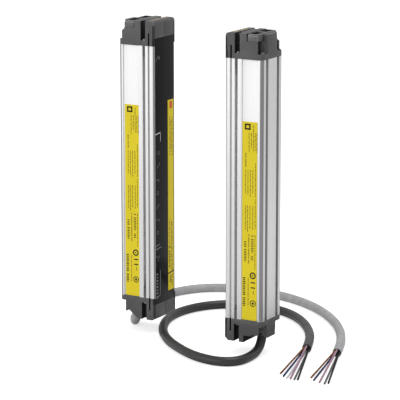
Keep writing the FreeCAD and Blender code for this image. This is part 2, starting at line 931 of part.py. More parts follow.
# Each wire: its place on the cable's end (sideways, upward, as shares of the ring), where it
# ends on the floor, and the points on the way
EMITTER_WIRES = {
    "brown": (
        0.95, 0.31, (119.7, -61.9),
        [(111.2, -14.7, 3.76), (112.9, -27.5, 2.32), (116.0, -44.2, 1.05)],
    ),
    "blue": (
        0.59, -0.81, (124.3, -66.8),
        [(112.4, -15.1, 1.78), (115.3, -29.1, 1.26), (119.5, -47.4, 0.8)],
    ),
    "pink": (
        0.0, 1.0, (130.2, -69.7),
        [(114.5, -15.0, 4.97), (119.1, -29.6, 2.97), (124.7, -49.0, 1.21)],
    ),
    "grey": (
        -0.59, -0.81, (134.7, -70.8),
        [(116.0, -14.8, 1.78), (121.5, -29.7, 1.26), (128.1, -49.5, 0.8)],
    ),
    "black": (
        -0.95, 0.31, (136.4, -67.9),
        [(116.9, -14.2, 3.76), (122.8, -28.4, 2.32), (129.7, -47.4, 1.05)],
    ),
}
RECEIVER_WIRES = {
    "brown": (
        1.0, 0.0, (96.2, -63.4),
        [(87.3, -16.2, 3.21), (89.2, -28.9, 2.02), (92.3, -45.7, 0.98)],
    ),
    "blue": (
        0.5, 0.87, (101.2, -68.3),
        [(88.9, -16.5, 4.74), (91.8, -30.5, 2.85), (96.2, -48.8, 1.18)],
    ),
    "white": (
        0.5, -0.87, (105.5, -71.3),
        [(89.8, -16.7, 1.67), (94.3, -31.3, 1.2), (99.9, -50.6, 0.78)],
    ),
    "pink": (
        -0.5, 0.87, (108.4, -71.4),
        [(91.7, -16.1, 4.74), (96.6, -30.8, 2.85), (102.5, -50.4, 1.18)],
    ),
    "grey": (
        -0.5, -0.87, (111.7, -72.1),
        [(92.2, -16.2, 1.67), (97.9, -31.0, 1.2), (104.8, -50.9, 0.78)],
    ),
    "black": (
        -1.0, 0.0, (113.9, -70.9),
        [(93.3, -15.7, 3.21), (99.5, -30.3, 2.02), (106.8, -49.8, 0.98)],
    ),
}

# Chips of each board: height above the middle of the bar, breadth and length
EMITTER_CHIPS = [(70, 9, 9), (48, 14, 10), (20, 6, 12), (-14, 12, 12), (-60, 8, 14)]
RECEIVER_CHIPS = [(72, 10, 8), (40, 12, 12), (6, 12, 12), (-30, 7, 12), (-64, 9, 14)]

pieces = []


def settle(piece, receiver, end=None):
    """Put a piece of either bar at its place, at the profile's end if one is named."""
    turn = FreeCAD.Rotation(FreeCAD.Vector(0, 0, 1), 180 if receiver else 0)
    if end == "bottom":
        turn = turn.multiply(FreeCAD.Rotation(FreeCAD.Vector(1, 0, 0), 180))
    piece.Placement = FreeCAD.Placement(FreeCAD.Vector(0, 0, 0), turn)
    if receiver:
        bind(piece, "Placement.Base.x", 2 * size.depth + size.front_gap)
        bind(piece, "Placement.Base.y", size.receiver_offset)
    if end:
        bind(piece, "Placement.Base.z", profile_top if end == "top" else profile_bottom)
    pieces.append(piece)


def build_bar(name, receiver, chips):
    """Build all the rigid pieces of one bar."""
    for label, make in (
        ("profile", make_profile), ("front_window", make_window), ("window_seal", make_seal),
        ("optics_carrier", make_carrier), ("lens_strip", make_lens_strip),
        ("diodes", make_diodes), ("light_guides", make_light_guides),
        ("circuit_board", make_board), ("top_sticker", make_sticker),
    ):
        settle(make(f"{name}_{label}"), receiver)
    settle(make_chips(f"{name}_board_chips", chips), receiver)
    settle(make_side_label(f"{name}_side_label", 1 if receiver else -1), receiver)
    if not receiver:
        settle(make_front_label(f"{name}_front_label"), receiver)
    for end in ("top", "bottom"):
        below = end == "bottom"
        height = size.bottom_cap_height if below else size.top_cap_height
        lap = size.window_over_bottom if below else size.window_over_top
        tongue = size.bottom_tongue if below else size.top_tongue
        settle(make_cap(f"{name}_{end}_cap", height, lap, tongue, below), receiver, end)
        settle(make_gasket(f"{name}_{end}_gasket", below), receiver, end)
        settle(make_screws(f"{name}_{end}_cap_screws"), receiver, end)
    settle(make_insert(f"{name}_top_cap_insert", size.top_cap_height), receiver, "top")
    settle(make_grommet(f"{name}_cable_grommet"), receiver, "bottom")


def build_cable(name, route, wires):
    """Build one bar's cable and the wires at its end."""
    pieces.append(make_cord(f"{name}_cable", route, size.cable_radius.value))
    for colour, (sideways, upward, tip, on_the_way) in wires.items():
        points = wire_points(route, sideways, upward, tip, on_the_way)
        pieces.append(make_cord(f"{name}_wire_{colour}", points, size.wire_radius.value))


def check_document():
    """Stop if any object failed or any piece is not a closed, valid shape."""
    doc.recompute()
    for thing in doc.Objects:
        faults = [word for word in thing.State if word in ("Invalid", "Error")]
        if faults:
            raise RuntimeError(f"{thing.Label}: {faults}")
    for piece in pieces:
        if piece.Shape.isNull() or not piece.Shape.isValid() or not piece.Shape.Solids:
            raise RuntimeError(f"{piece.Label}: shape is not valid")


build_bar("emitter", False, EMITTER_CHIPS)
build_bar("receiver", True, RECEIVER_CHIPS)
build_cable(
    "emitter", cable_points(False, EMITTER_DROP, EMITTER_BENDS, EMITTER_FLOOR), EMITTER_WIRES
)
build_cable(
    "receiver", cable_points(True, RECEIVER_DROP, RECEIVER_BENDS, RECEIVER_FLOOR),
    RECEIVER_WIRES,
)
check_document()
for piece in pieces:
    piece.Shape.exportStep(f"parts/{piece.Label}.step")
print(len(pieces), "pieces written")
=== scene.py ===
"""Looks of a safety light curtain: two bars that face each other, each with its cable.

Sizes are written in millimetres and turned into metres where meshes are made.
"""

import logging
import math
from collections import defaultdict
from dataclasses import dataclass
from enum import Enum, IntEnum
from functools import partialmethod
from typing import Any, Callable, NamedTuple, Sequence

import bmesh
import bpy
from mathutils import Matrix, Vector


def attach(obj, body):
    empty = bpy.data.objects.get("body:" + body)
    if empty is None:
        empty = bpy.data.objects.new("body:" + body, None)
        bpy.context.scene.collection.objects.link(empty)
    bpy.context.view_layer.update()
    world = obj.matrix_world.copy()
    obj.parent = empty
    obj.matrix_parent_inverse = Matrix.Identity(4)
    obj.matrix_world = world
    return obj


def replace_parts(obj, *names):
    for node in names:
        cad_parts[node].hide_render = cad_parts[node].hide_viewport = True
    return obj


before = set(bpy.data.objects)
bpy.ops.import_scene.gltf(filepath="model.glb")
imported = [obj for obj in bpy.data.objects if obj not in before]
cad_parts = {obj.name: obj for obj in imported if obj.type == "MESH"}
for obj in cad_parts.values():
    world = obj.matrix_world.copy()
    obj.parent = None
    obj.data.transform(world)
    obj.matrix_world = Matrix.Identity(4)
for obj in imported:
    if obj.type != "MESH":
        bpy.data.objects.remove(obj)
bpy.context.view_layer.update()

MM = 0.001
CLOSE = 0.01 * MM
FULL_TURN = 2 * math.pi
SMOOTH_ANGLE = math.radians(35.0)
Colour = tuple[float, float, float]
Point = tuple[float, float, float]
Pair = tuple[float, float]
Mesh = bmesh.types.BMesh
Piece = bpy.types.Object
log = logging.getLogger("light_curtain")


# Shader maths
class Shade:
    """A node's output that can be used in sums."""

    def __init__(self, nodes: "Nodes", socket: bpy.types.NodeSocket) -> None:
        """Keep the nodes that it belongs to and the socket."""
        self.nodes = nodes
        self.socket = socket

    def _sum(self, operation: str, other: Any, reflected: bool = False) -> "Shade":
        """Add a Math node.

        Args:
            operation: the node's operation.
            other: a shade or a number.
            reflected: whether the other value comes first.

        Returns:
            The node's result.
        """
        values = (other, self) if reflected else (self, other)
        return self.nodes.add("ShaderNodeMath", {"operation": operation}, dict(enumerate(values)))

    __add__ = __radd__ = partialmethod(_sum, "ADD")
    __sub__ = partialmethod(_sum, "SUBTRACT")
    __rsub__ = partialmethod(_sum, "SUBTRACT", reflected=True)
    __mul__ = __rmul__ = partialmethod(_sum, "MULTIPLY")


class Nodes:
    """The nodes of a material or of the world."""

    def __init__(self, tree: bpy.types.NodeTree) -> None:
        """Start with an empty tree."""
        self.tree = tree
        tree.nodes.clear()

    def node(self, kind: str, settings: dict[str, Any], inputs: dict[Any, Any]) -> bpy.types.Node:
        """Add a node.

        Args:
            kind: the node's type.
            settings: its properties, such as a Math node's operation.
            inputs: values or shades for its sockets, by name or number.

        Returns:
            The node.
        """
        made = self.tree.nodes.new(kind)
        for word, value in settings.items():
            setattr(made, word, value)
        for key, value in inputs.items():
            self.feed(made.inputs[key], value)
        return made

    def add(
        self, kind: str, settings: dict[str, Any], inputs: dict[Any, Any], output: Any = 0
    ) -> Shade:
        """Add a node and return one of its outputs."""
        return Shade(self, self.node(kind, settings, inputs).outputs[output])

    def feed(self, socket: bpy.types.NodeSocket, value: Any) -> None:
        """Link a shade to a socket, or set a plain value on it.

        Args:
            socket: the socket.
            value: a shade, a number, a colour or a vector.
        """
        if isinstance(value, Shade):
            self.tree.links.new(value.socket, socket)
        elif isinstance(value, tuple) and socket.type == "RGBA":
            socket.default_value = (*value, 1.0)
        else:
            socket.default_value = value

    def seen(self) -> Shade:
        """Return 1 for the camera's rays, also through clear pieces, and 0 for all others."""
        paths = self.node("ShaderNodeLightPath", {}, {}).outputs
        return Shade(self, paths["Is Camera Ray"]) + Shade(self, paths["Is Transmission Ray"])


class Sheet(Nodes):
    """The node sheet of one material."""

    def __init__(self, name: str) -> None:
        """Start a material with an empty shader.

        Args:
            name: the material's name.
        """
        self.material = bpy.data.materials.new(name)
        self.material.use_nodes = True
        super().__init__(self.material.node_tree)
        self.shader = self.node("ShaderNodeBsdfPrincipled", {}, {})
        surface = Shade(self, self.shader.outputs[0])
        self.node("ShaderNodeOutputMaterial", {}, {"Surface": surface})

    def place(self) -> Shade:
        """Return the place on the object."""
        return self.add("ShaderNodeTexCoord", {}, {}, "Object")

    def noise(self, scale: float | Point, detail: float = 2.0, spread: float = 0.5) -> Shade:
        """Return noise stretched by a scale.

        Args:
            scale: waves per metre, along all axes or along each.
            detail: how many finer layers it has.
            spread: how strong the finer layers are.

        Returns:
            The noise, about 0.5 on average.
        """
        axes = scale if isinstance(scale, tuple) else (scale, scale, scale)
        mapped = self.add("ShaderNodeMapping", {}, {"Vector": self.place(), "Scale": axes})
        return self.add(
            "ShaderNodeTexNoise", {},
            {"Vector": mapped, "Scale": 1.0, "Detail": detail, "Roughness": spread},
        )

    def contrast(self, value: Shade, low: float, high: float) -> Shade:
        """Stretch a value so that low becomes 0 and high becomes 1."""
        sockets = {"Value": value, "From Min": low, "From Max": high}
        return self.add("ShaderNodeMapRange", {}, sockets)

    def blend(self, share: Shade, first: Any, second: Any) -> Shade:
        """Mix two colours, by how much of the second one shows."""
        # A Mix node has its colours on inputs 6 and 7, and the mixed colour on output 2.
        return self.add("ShaderNodeMix", {"data_type": "RGBA"}, {0: share, 6: first, 7: second}, 2)

    def bump(self, height: Shade, strength: float, depth: float) -> None:
        """Raise the surface by a height from 0 to 1, with its depth in metres."""
        sockets = {"Strength": strength, "Distance": depth, "Height": height}
        self.surface(Normal=self.add("ShaderNodeBump", {}, sockets))

    def surface(self, **values: Any) -> None:
        """Set the shader's sockets, named with underscores for spaces."""
        for word, value in values.items():
            self.feed(self.shader.inputs[word.replace("_", " ")], value)


# Finishes
Layers = tuple[Shade, Shade, Shade]
Noise = tuple[float | Point, ...]


@dataclass(frozen=True)
class Finish:
    """A surface finish that becomes one material.

    Its pattern varies the colour between two tints, its sheen the roughness by a span about
    the middle, and its skin the height by the relief's share of a depth in metres. Each is
    noise, given by its scale, detail and spread, and the ends are the values of the pattern
    that become 0 and 1. Without a sheen or a skin, the one before it is taken.
    """

    name: str
    colour: Colour
    roughness: float = 0.5
    tints: Pair = (1.0, 1.0)
    span: float = 0.1
    relief: float = 0.0
    depth: float = 0.00003
    metallic: float = 0.0
    shine: float = 0.5
    clearness: float = 0.0
    pattern: Noise = (500.0,)
    ends: Pair | None = None
    sheen: Noise | None = None
    skin: Noise | None = None

    def material(self) -> bpy.types.Material:
        """Return the finish's material, made when it is first asked for."""
        title = f"{self.name}_finish"
        found = bpy.data.materials.get(title)
        if found:
            return found
        sheet = Sheet(title)
        tone, gloss, height = self.layers(sheet)
        sheet.surface(
            Base_Color=sheet.blend(tone, *self.tones()),
            Roughness=gloss * self.span + (self.roughness - self.span / 2),
            Metallic=self.metallic,
            Specular_IOR_Level=self.shine,
            Transmission_Weight=self.clearness,
        )
        if self.relief:
            sheet.bump(height, self.relief, self.depth)
        return sheet.material

    def tones(self) -> list[Colour]:
        """Return the two tints of the colour."""
        return [tuple(min(1.0, part * tint) for part in self.colour) for tint in self.tints]

    def layers(self, sheet: Sheet) -> Layers:
        """Return what the colour, the roughness and the height follow.

        Args:
            sheet: the sheet of the finish's material.

        Returns:
            The three patterns, each from 0 to 1.
        """
        tone = sheet.noise(*self.pattern)
        if self.ends:
            tone = sheet.contrast(tone, *self.ends)
        gloss = sheet.noise(*self.sheen) if self.sheen else tone
        return tone, gloss, sheet.noise(*self.skin) if self.skin else gloss


@dataclass(frozen=True)
class AnodisedAluminium(Finish):
    """Satin anodised aluminium with the fine lines of extrusion along its length."""

    tints: Pair = (0.93, 1.05)
    relief: float = 0.12
    depth: float = 0.00004
    metallic: float = 0.6

    def layers(self, sheet: Sheet) -> Layers:
        """Draw the lines along the bar and a faint cloudiness."""
        lines = sheet.noise((2400.0, 2400.0, 9.0), 3.0, 0.6)
        broad = sheet.noise((420.0, 420.0, 4.0), 1.0)
        clouds = sheet.noise((30.0, 30.0, 12.0))
        tone = sheet.contrast(lines * 0.5 + broad * 0.3 + clouds * 0.2, 0.3, 0.7)
        return tone, tone, lines


@dataclass(frozen=True)
class MouldedPlastic(Finish):
    """Moulded plastic with a fine spark grain."""

    tints: Pair = (0.88, 1.14)
    span: float = 0.12
    relief: float = 0.3
    grain: float = 1500.0

    def layers(self, sheet: Sheet) -> Layers:
        """Draw the grain and a faint cloudiness of rubbed, smoother spots."""
        grain = sheet.noise(self.grain)
        clouds = sheet.noise(70.0, 3.0)
        rubbed = sheet.contrast(clouds * 0.7 + grain * 0.3, 0.42, 0.68)
        return rubbed, 1.0 - rubbed, grain


@dataclass(frozen=True)
class DarkScreen(Finish):
    """Dark optical plastic: nearly black, smooth, and barely wavy."""

    tints: Pair = (0.8, 1.3)
    span: float = 0.08
    relief: float = 0.04
    depth: float = 0.0002
    shine: float = 0.1
    pattern: Noise = ((160.0, 160.0, 35.0), 3.0)
    skin: Noise = ((40.0, 40.0, 14.0), 1.0)


@dataclass(frozen=True)
class PrintedFilm(Finish):
    """Printed label film with a half gloss and a very faint orange peel."""

    tints: Pair = (0.93, 1.07)
    span: float = 0.12
    relief: float = 0.08
    shine: float = 0.25
    pattern: Noise = ((60.0, 60.0, 25.0), 3.0)
    skin: Noise = (900.0, 1.0)


@dataclass(frozen=True)
class Ink(Finish):
    """Print on a label or a window, slightly worn."""

    roughness: float = 0.45
    tints: Pair = (1.0, 1.25)
    shine: float = 0.2
    pattern: Noise = (1300.0,)
    ends: Pair = (0.4, 0.65)
    sheen: Noise = (1300.0,)


@dataclass(frozen=True)
class Foil(Finish):
    """Bright foil with fine brushing and patches of a second colour."""

    span: float = 0.15
    relief: float = 0.1
    metallic: float = 0.4
    pattern: Noise = (330.0, 3.0)
    ends: Pair = (0.44, 0.6)
    sheen: Noise = ((3000.0, 90.0, 90.0),)
    second: Colour = (0.15, 0.14, 0.13)

    def tones(self) -> list[Colour]:
        """Return the foil's two colours."""
        return [self.colour, self.second]


@dataclass(frozen=True)
class PlatedSteel(Finish):
    """Zinc-plated steel with small scuffs."""

    tints: Pair = (0.75, 1.15)
    span: float = 0.2
    relief: float = 0.15
    metallic: float = 1.0
    pattern: Noise = ((1800.0, 1800.0, 500.0), 3.0, 0.65)


@dataclass(frozen=True)
class CableJacket(Finish):
    """Extruded cable jacket: satin, with a fine skin and faint scuffs."""

    tints: Pair = (0.92, 1.18)
    span: float = 0.12
    relief: float = 0.25
    depth: float = 0.00004
    pattern: Noise = (150.0, 4.0, 0.6)
    ends: Pair = (0.45, 0.7)
    skin: Noise = (1100.0, 3.0)


@dataclass(frozen=True)
class WireInsulation(Finish):
    """Thin glossy insulation of a single wire."""

    roughness: float = 0.4
    tints: Pair = (0.85, 1.15)
    relief: float = 0.05
    depth: float = 0.00005
    shine: float = 0.1
    pattern: Noise = (260.0,)


@dataclass(frozen=True)
class CircuitBoard(Finish):
    """Green board with lighter copper tracks under the mask."""

    tints: Pair = (1.0, 2.2)
    relief: float = 0.3

    def layers(self, sheet: Sheet) -> Layers:
        """Draw the tracks as a grid of short runs."""
        upright = {"Vector": sheet.place(), "Rotation": (0.0, math.pi / 2, 0.0)}
        grid = {
            "Vector": sheet.add("ShaderNodeMapping", {}, upright),
            "Scale": 320.0, "Mortar Size": 0.06, "Brick Width": 1.4, "Row Height": 0.35,
        }
        tracks = sheet.add("ShaderNodeTexBrick", {"offset": 0.5}, grid, "Fac")
        return tracks, tracks, tracks


@dataclass(frozen=True)
class ClearPlastic(Finish):
    """Clear moulded optics with fine ridges."""

    tints: Pair = (0.9, 1.0)
    span: float = 0.08
    relief: float = 0.2
    depth: float = 0.00005
    clearness: float = 0.7

    def layers(self, sheet: Sheet) -> Layers:
        """Draw the ridges of the lenses."""
        ridges = sheet.add(
            "ShaderNodeTexWave", {"wave_type": "RINGS", "rings_direction": "X"},
            {"Vector": sheet.place(), "Scale": 500.0, "Distortion": 0.2}, "Fac",
        )
        return ridges, ridges, ridges


ALUMINIUM = AnodisedAluminium("satin_aluminium", (0.83, 0.83, 0.835), 0.42)
# Painted shade: a darker copy of the aluminium for the rear corners' chamfers and the lips' rounded
# edges.
SHADED_CORNER_ALUMINIUM = AnodisedAluminium("shaded_corner_aluminium", (0.3, 0.3, 0.31), 0.35)
# Painted shade: a darker copy of the aluminium for the trim grooves and the rear channels.
SHADED_GROOVE_ALUMINIUM = AnodisedAluminium("shaded_groove_aluminium", (0.52, 0.52, 0.53), 0.5, metallic=0.5)
# Painted light: a paler, less metallic copy of the aluminium that lightens the deep side slots.
LIT_SLOT_ALUMINIUM = AnodisedAluminium("lit_slot_aluminium", (0.78, 0.78, 0.78), 0.5, metallic=0.15)
CAP = MouldedPlastic("cap_plastic", (0.088, 0.088, 0.092), 0.5)
# Painted highlight: a pale, glossy copy of the cap plastic for the rounded edges of the caps and
# the insert.
CAP_EDGE_HIGHLIGHT = MouldedPlastic("cap_edge_highlight", (0.4, 0.4, 0.405), 0.3)
# Painted shade: a near-black copy of the cap plastic for the caps' hollows, channels and front
# seam, the insert's pockets and the strips on the caps' front corners.
CAP_RECESS_SHADE = MouldedPlastic("cap_recess_shade", (0.018, 0.018, 0.019), 0.6, shine=0.2)
INSERT = MouldedPlastic("insert_plastic", (0.12, 0.12, 0.124), 0.42)
SCREEN = DarkScreen("dark_screen", (0.007, 0.007, 0.0075), 0.2)
RUBBER = MouldedPlastic("seal_rubber", (0.03, 0.03, 0.03), 0.7, grain=900.0, shine=0.3)
CARRIER = MouldedPlastic("carrier_plastic", (0.022, 0.022, 0.023), 0.6)
LENS = ClearPlastic("lens_plastic", (0.8, 0.84, 0.86), 0.12)
DIODE = MouldedPlastic("diode_resin", (0.06, 0.04, 0.09), 0.2, grain=300.0)
BOARD = CircuitBoard("board_mask", (0.02, 0.16, 0.06), 0.4)
CHIP = MouldedPlastic("chip_body", (0.028, 0.028, 0.03), 0.45, grain=4000.0)
STEEL = PlatedSteel("plated_steel", (0.27, 0.27, 0.28), 0.42)
YELLOW = PrintedFilm("yellow_film", (0.83, 0.67, 0.016), 0.44)
FOIL = Foil("bright_foil", (0.4, 0.34, 0.22), 0.475)
INKS = {
    "black": Ink("black_ink", (0.014, 0.013, 0.01)),
    "dark": Ink("dark_ink", (0.06, 0.045, 0.008)),
    "text": Ink("text_ink", (0.14, 0.095, 0.01)),
    "brown": Ink("brown_ink", (0.2, 0.09, 0.012)),
    "pale": Ink("pale_ink", (0.5, 0.5, 0.52)),
    "mark": Ink("mark_ink", (0.24, 0.24, 0.25)),
    "dim": Ink("dim_ink", (0.13, 0.13, 0.135)),
    "orange": Ink("orange_ink", (0.68, 0.13, 0.025), 0.4),
}
JACKETS = {
    "emitter": CableJacket("grey_jacket", (0.40, 0.40, 0.41), 0.48),
    "receiver": CableJacket("black_jacket", (0.027, 0.027, 0.028), 0.4),
}
WIRES = {
    "brown": WireInsulation("wire_brown", (0.24, 0.1, 0.035)),
    "blue": WireInsulation("wire_blue", (0.008, 0.022, 0.11)),
    "pink": WireInsulation("wire_pink", (0.42, 0.24, 0.33)),
    "grey": WireInsulation("wire_grey", (0.13, 0.13, 0.135)),
    "black": WireInsulation("wire_black", (0.003, 0.003, 0.003)),
    "white": WireInsulation("wire_white", (0.7, 0.69, 0.74)),
}


# Pieces
def to_metres(point: Sequence[float]) -> Vector:
    """Return a point that is given in millimetres."""
    return Vector(point) * MM


def put(name: str, data: bpy.types.ID) -> Piece:
    """Put an object with its data in the scene."""
    made = bpy.data.objects.new(name, data)
    bpy.context.collection.objects.link(made)
    return made


def kept(name: str, mesh: Mesh) -> bpy.types.Mesh:
    """Turn a mesh in work into one that stays.

    Args:
        name: its name.
        mesh: the mesh in work, which is freed.

    Returns:
        The mesh that stays.
    """
    data = bpy.data.meshes.new(name)
    mesh.to_mesh(data)
    mesh.free()
    return data


def add_box(mesh: Mesh, place: Matrix, size: Point) -> list[bmesh.types.BMVert]:
    """Add a box with its middle at a place, and return its corners."""
    matrix = place @ Matrix.Diagonal((*to_metres(size), 1.0))
    return bmesh.ops.create_cube(mesh, size=1.0, matrix=matrix)["verts"]


def round_edges(
    mesh: Mesh, edges: Sequence[bmesh.types.BMEdge], width: float, segments: int
) -> set[bmesh.types.BMFace]:
    """Round edges by a width in millimetres, and return the new faces."""
    made = bmesh.ops.bevel(
        mesh, geom=edges, offset=width * MM, offset_type="OFFSET", segments=segments,
        profile=0.5, affect="EDGES", clamp_overlap=True, material=-1,
    )
    return set(made["faces"])


def close_up(mesh: Mesh, distance: float) -> None:
    """Merge points that stand within a distance in millimetres, and turn all faces outwards."""
    bmesh.ops.remove_doubles(mesh, verts=mesh.verts, dist=distance * MM)
    bmesh.ops.recalc_face_normals(mesh, faces=mesh.faces)


def keep_piece(name: str, mesh: Mesh, finishes: Sequence[Finish]) -> Piece:
    """Turn a mesh into a finished piece that rides with the object.

    Args:
        name: the piece's name.
        mesh: its mesh, in metres and in place.
        finishes: its finishes, in the order of the numbers on its faces.

    Returns:
        The object.
    """
    for face in mesh.faces:
        face.smooth = True
    for edge in mesh.edges:
        edge.smooth = edge.is_manifold and edge.calc_face_angle(0.0) < SMOOTH_ANGLE
    data = kept(name, mesh)
    for finish in finishes:
        data.materials.append(finish.material())
    piece = put(name, data)
    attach(piece, "root")
    log.info("%s: %d faces", name, len(data.polygons))
    return piece


def dress(node: str, finish: Finish) -> None:
    """Give a node of the frame its finish.

    Args:
        node: the node's name.
        finish: its finish.
    """
    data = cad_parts[node].data
    data.materials.clear()
    data.materials.append(finish.material())
    log.info("%s dressed", node)


class Facing(IntEnum):
    """Which of its piece's finishes a face has; EDGE carries a painted highlight or painted shade,
    RECESS painted shade, and SLOT painted light.
    """

    MAIN = 0
    EDGE = 1
    RECESS = 2
    SLOT = 3


class Facet(NamedTuple):
    """A face's middle and direction in the frame of its piece, and whether it was rounded."""

    centre: Vector
    normal: Vector
    rounded: bool


Sorter = Callable[[Facet], Facing]
Shaper = Callable[[Vector], Vector]


@dataclass
class Skin:
    """A copy of a node with rounded edges, which stands in the node's place."""

    node: str
    finishes: tuple[Finish, ...]
    slot: str
    width: float
    place: Matrix
    sort: Sorter | None = None
    shape: Shaper | None = None
    merge_distance: float = 0.002
    flat_angle: float = 0.5
    sharp_angle: float = 30.0
    segments: int = 2

    def mesh(self) -> Mesh:
        """Return the copy, with its points moved as the shape says and its edges rounded."""
        mesh = bmesh.new()
        mesh.from_mesh(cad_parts[self.node].data)
        bmesh.ops.remove_doubles(mesh, verts=mesh.verts, dist=self.merge_distance * MM)
        bmesh.ops.dissolve_limit(
            mesh, angle_limit=math.radians(self.flat_angle), verts=mesh.verts, edges=mesh.edges
        )
        back = self.place.inverted()
        if self.shape:
            for vert in mesh.verts:
                vert.co = self.place @ (self.shape(back @ vert.co / MM) * MM)
        rounding = set()
        if self.width:
            limit = math.radians(self.sharp_angle)
            sharp = [
                edge for edge in mesh.edges
                if edge.is_manifold and edge.calc_face_angle(0.0) > limit
            ]
            rounding = round_edges(mesh, sharp, self.width, self.segments)
        if self.sort:
            turn = back.to_3x3()
            for face in mesh.faces:
                centre = back @ face.calc_center_median() / MM
                facet = Facet(centre, turn @ face.normal, face in rounding)
                face.material_index = self.sort(facet)
        return mesh

    def build(self) -> None:
        """Put the copy in the node's place."""
        self.keep(self.mesh())

    def keep(self, mesh: Mesh) -> None:
        """Turn a finished mesh into the piece that replaces the node."""
        piece = keep_piece(f"{self.node}_skin", mesh, self.finishes)
        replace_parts(piece, self.node)


# Print
class Row(NamedTuple):
    """A line of print down a page: its ink, its place across, its ends and its letters' height.

    The seed is where it starts in a list of lengths, the weight how much of the height it fills.
    """

    ink: str
    u: float
    top: float
    bottom: float
    height: float
    seed: int
    weight: float = 0.55


@dataclass
class Page:
    """A flat place that takes print, with its own directions."""

    corner: Point
    right: Point
    up: Point
    out: Point
    thickness: float = 0.04
    ring_steps: int = 24
    merge_distance: float = 0.0005
    word_lengths: tuple[float, ...] = (1.7, 2.6, 0.9, 2.1, 3.0, 1.2, 1.9, 0.7, 2.4, 1.5)
    word_gap: float = 0.55
    shortest_word: float = 0.4
    strokes: tuple[float, ...] = (1.0, 0.7, 1.0, 0.85, 0.6, 1.0, 0.9, 0.0, 1.0, 0.75, 0.95)
    stroke_pitch: float = 0.62
    stroke_width: float = 0.55

    def __post_init__(self) -> None:
        """Start the page's meshes, one for each ink that is used."""
        self.meshes: dict[str, Mesh] = defaultdict(bmesh.new)

    def _frame(self, u: float, v: float, turn: float = 0.0) -> Matrix:
        """Return the frame of a mark.

        Args:
            u: its place across the page.
            v: its place up the page.
            turn: its turn about the page's normal.

        Returns:
            The frame, with the mark's middle at its origin.
        """
        right, up, out = (Vector(axis) for axis in (self.right, self.up, self.out))
        centre = Vector(self.corner) + right * u + up * v + out * (self.thickness / 2)
        axes = Matrix((right, up, out)).transposed().to_4x4()
        return Matrix.Translation(centre * MM) @ axes @ Matrix.Rotation(turn, 4, "Z")

    def bar(self, ink: str, centre: Pair, size: Pair, turn: float = 0.0) -> None:
        """Print a rectangle of a width and height, turned by an angle."""
        add_box(self.meshes[ink], self._frame(*centre, turn), (*size, self.thickness))

    def line(self, ink: str, start: Pair, end: Pair, width: float) -> None:
        """Print a straight line.

        Args:
            ink: the name of the ink.
            start: where it starts.
            end: where it ends.
            width: its width, which also lengthens it by half at each end.
        """
        across, along = end[0] - start[0], end[1] - start[1]
        middle = ((start[0] + end[0]) / 2, (start[1] + end[1]) / 2)
        size = (math.hypot(across, along) + width, width)
        self.bar(ink, middle, size, math.atan2(along, across))

    def frame_line(self, ink: str, centre: Pair, size: Pair, width: float) -> None:
        """Print the outline of a rectangle.

        Args:
            ink: the name of the ink.
            centre: the rectangle's middle.
            size: its width and height, between the middles of its lines.
            width: the width of its lines.
        """
        a, b, c, d = (
            (centre[0] + hand * size[0] / 2, centre[1] + rise * size[1] / 2)
            for hand, rise in ((-1, -1), (1, -1), (-1, 1), (1, 1))
        )
        for start, end in ((a, b), (c, d), (a, c), (b, d)):
            self.line(ink, start, end, width)

    def ring(self, ink: str, centre: Pair, radius: float, width: float) -> None:
        """Print a ring.

        Args:
            ink: the name of the ink.
            centre: the ring's middle on the page.
            radius: its outer radius.
            width: the width of its line.
        """
        mesh = self.meshes[ink]
        place = self._frame(*centre)
        inner, half = radius - width, self.thickness / 2
        section = ((inner, -half), (radius, -half), (radius, half), (inner, half))
        points = [mesh.verts.new(place @ to_metres((r, 0.0, h))) for r, h in section]
        edges = [mesh.edges.new(pair) for pair in zip(points, points[1:] + points[:1])]
        bmesh.ops.spin(
            mesh, geom=points + edges, cent=place.translation, axis=Vector(self.out),
            angle=FULL_TURN, steps=self.ring_steps, use_merge=True,
        )

    def words(self, row: Row) -> None:
        """Print a line of plain dashes in place of words.

        Args:
            row: the line.
        """
        place, index = row.top, row.seed
        while place > row.bottom + self.shortest_word:
            share = self.word_lengths[index % len(self.word_lengths)]
            length = min(share * row.height, place - row.bottom)
            self.bar(row.ink, (row.u, place - length / 2), (row.height * row.weight, length))
            place -= length + self.word_gap * row.height
            index += 1

    def letters(self, row: Row) -> None:
        """Print a line of short cross strokes in place of bold letters.

        Args:
            row: the line.
        """
        pitch = row.height * self.stroke_pitch
        for index in range(int((row.top - row.bottom) / pitch)):
            share = self.strokes[(index + row.seed) % len(self.strokes)]
            if share:
                size = (row.height * share, pitch * self.stroke_width)
                self.bar(row.ink, (row.u, row.top - (index + 0.5) * pitch), size)

    def finish(self, name: str, slot: str) -> None:
        """Make a piece of each ink's mesh.

        Args:
            name: the name that the pieces share.
            slot: the slot of the record that they belong to; not used.
        """
        for ink, mesh in self.meshes.items():
            close_up(mesh, self.merge_distance)
            keep_piece(f"{name}_{ink}", mesh, (INKS[ink],))


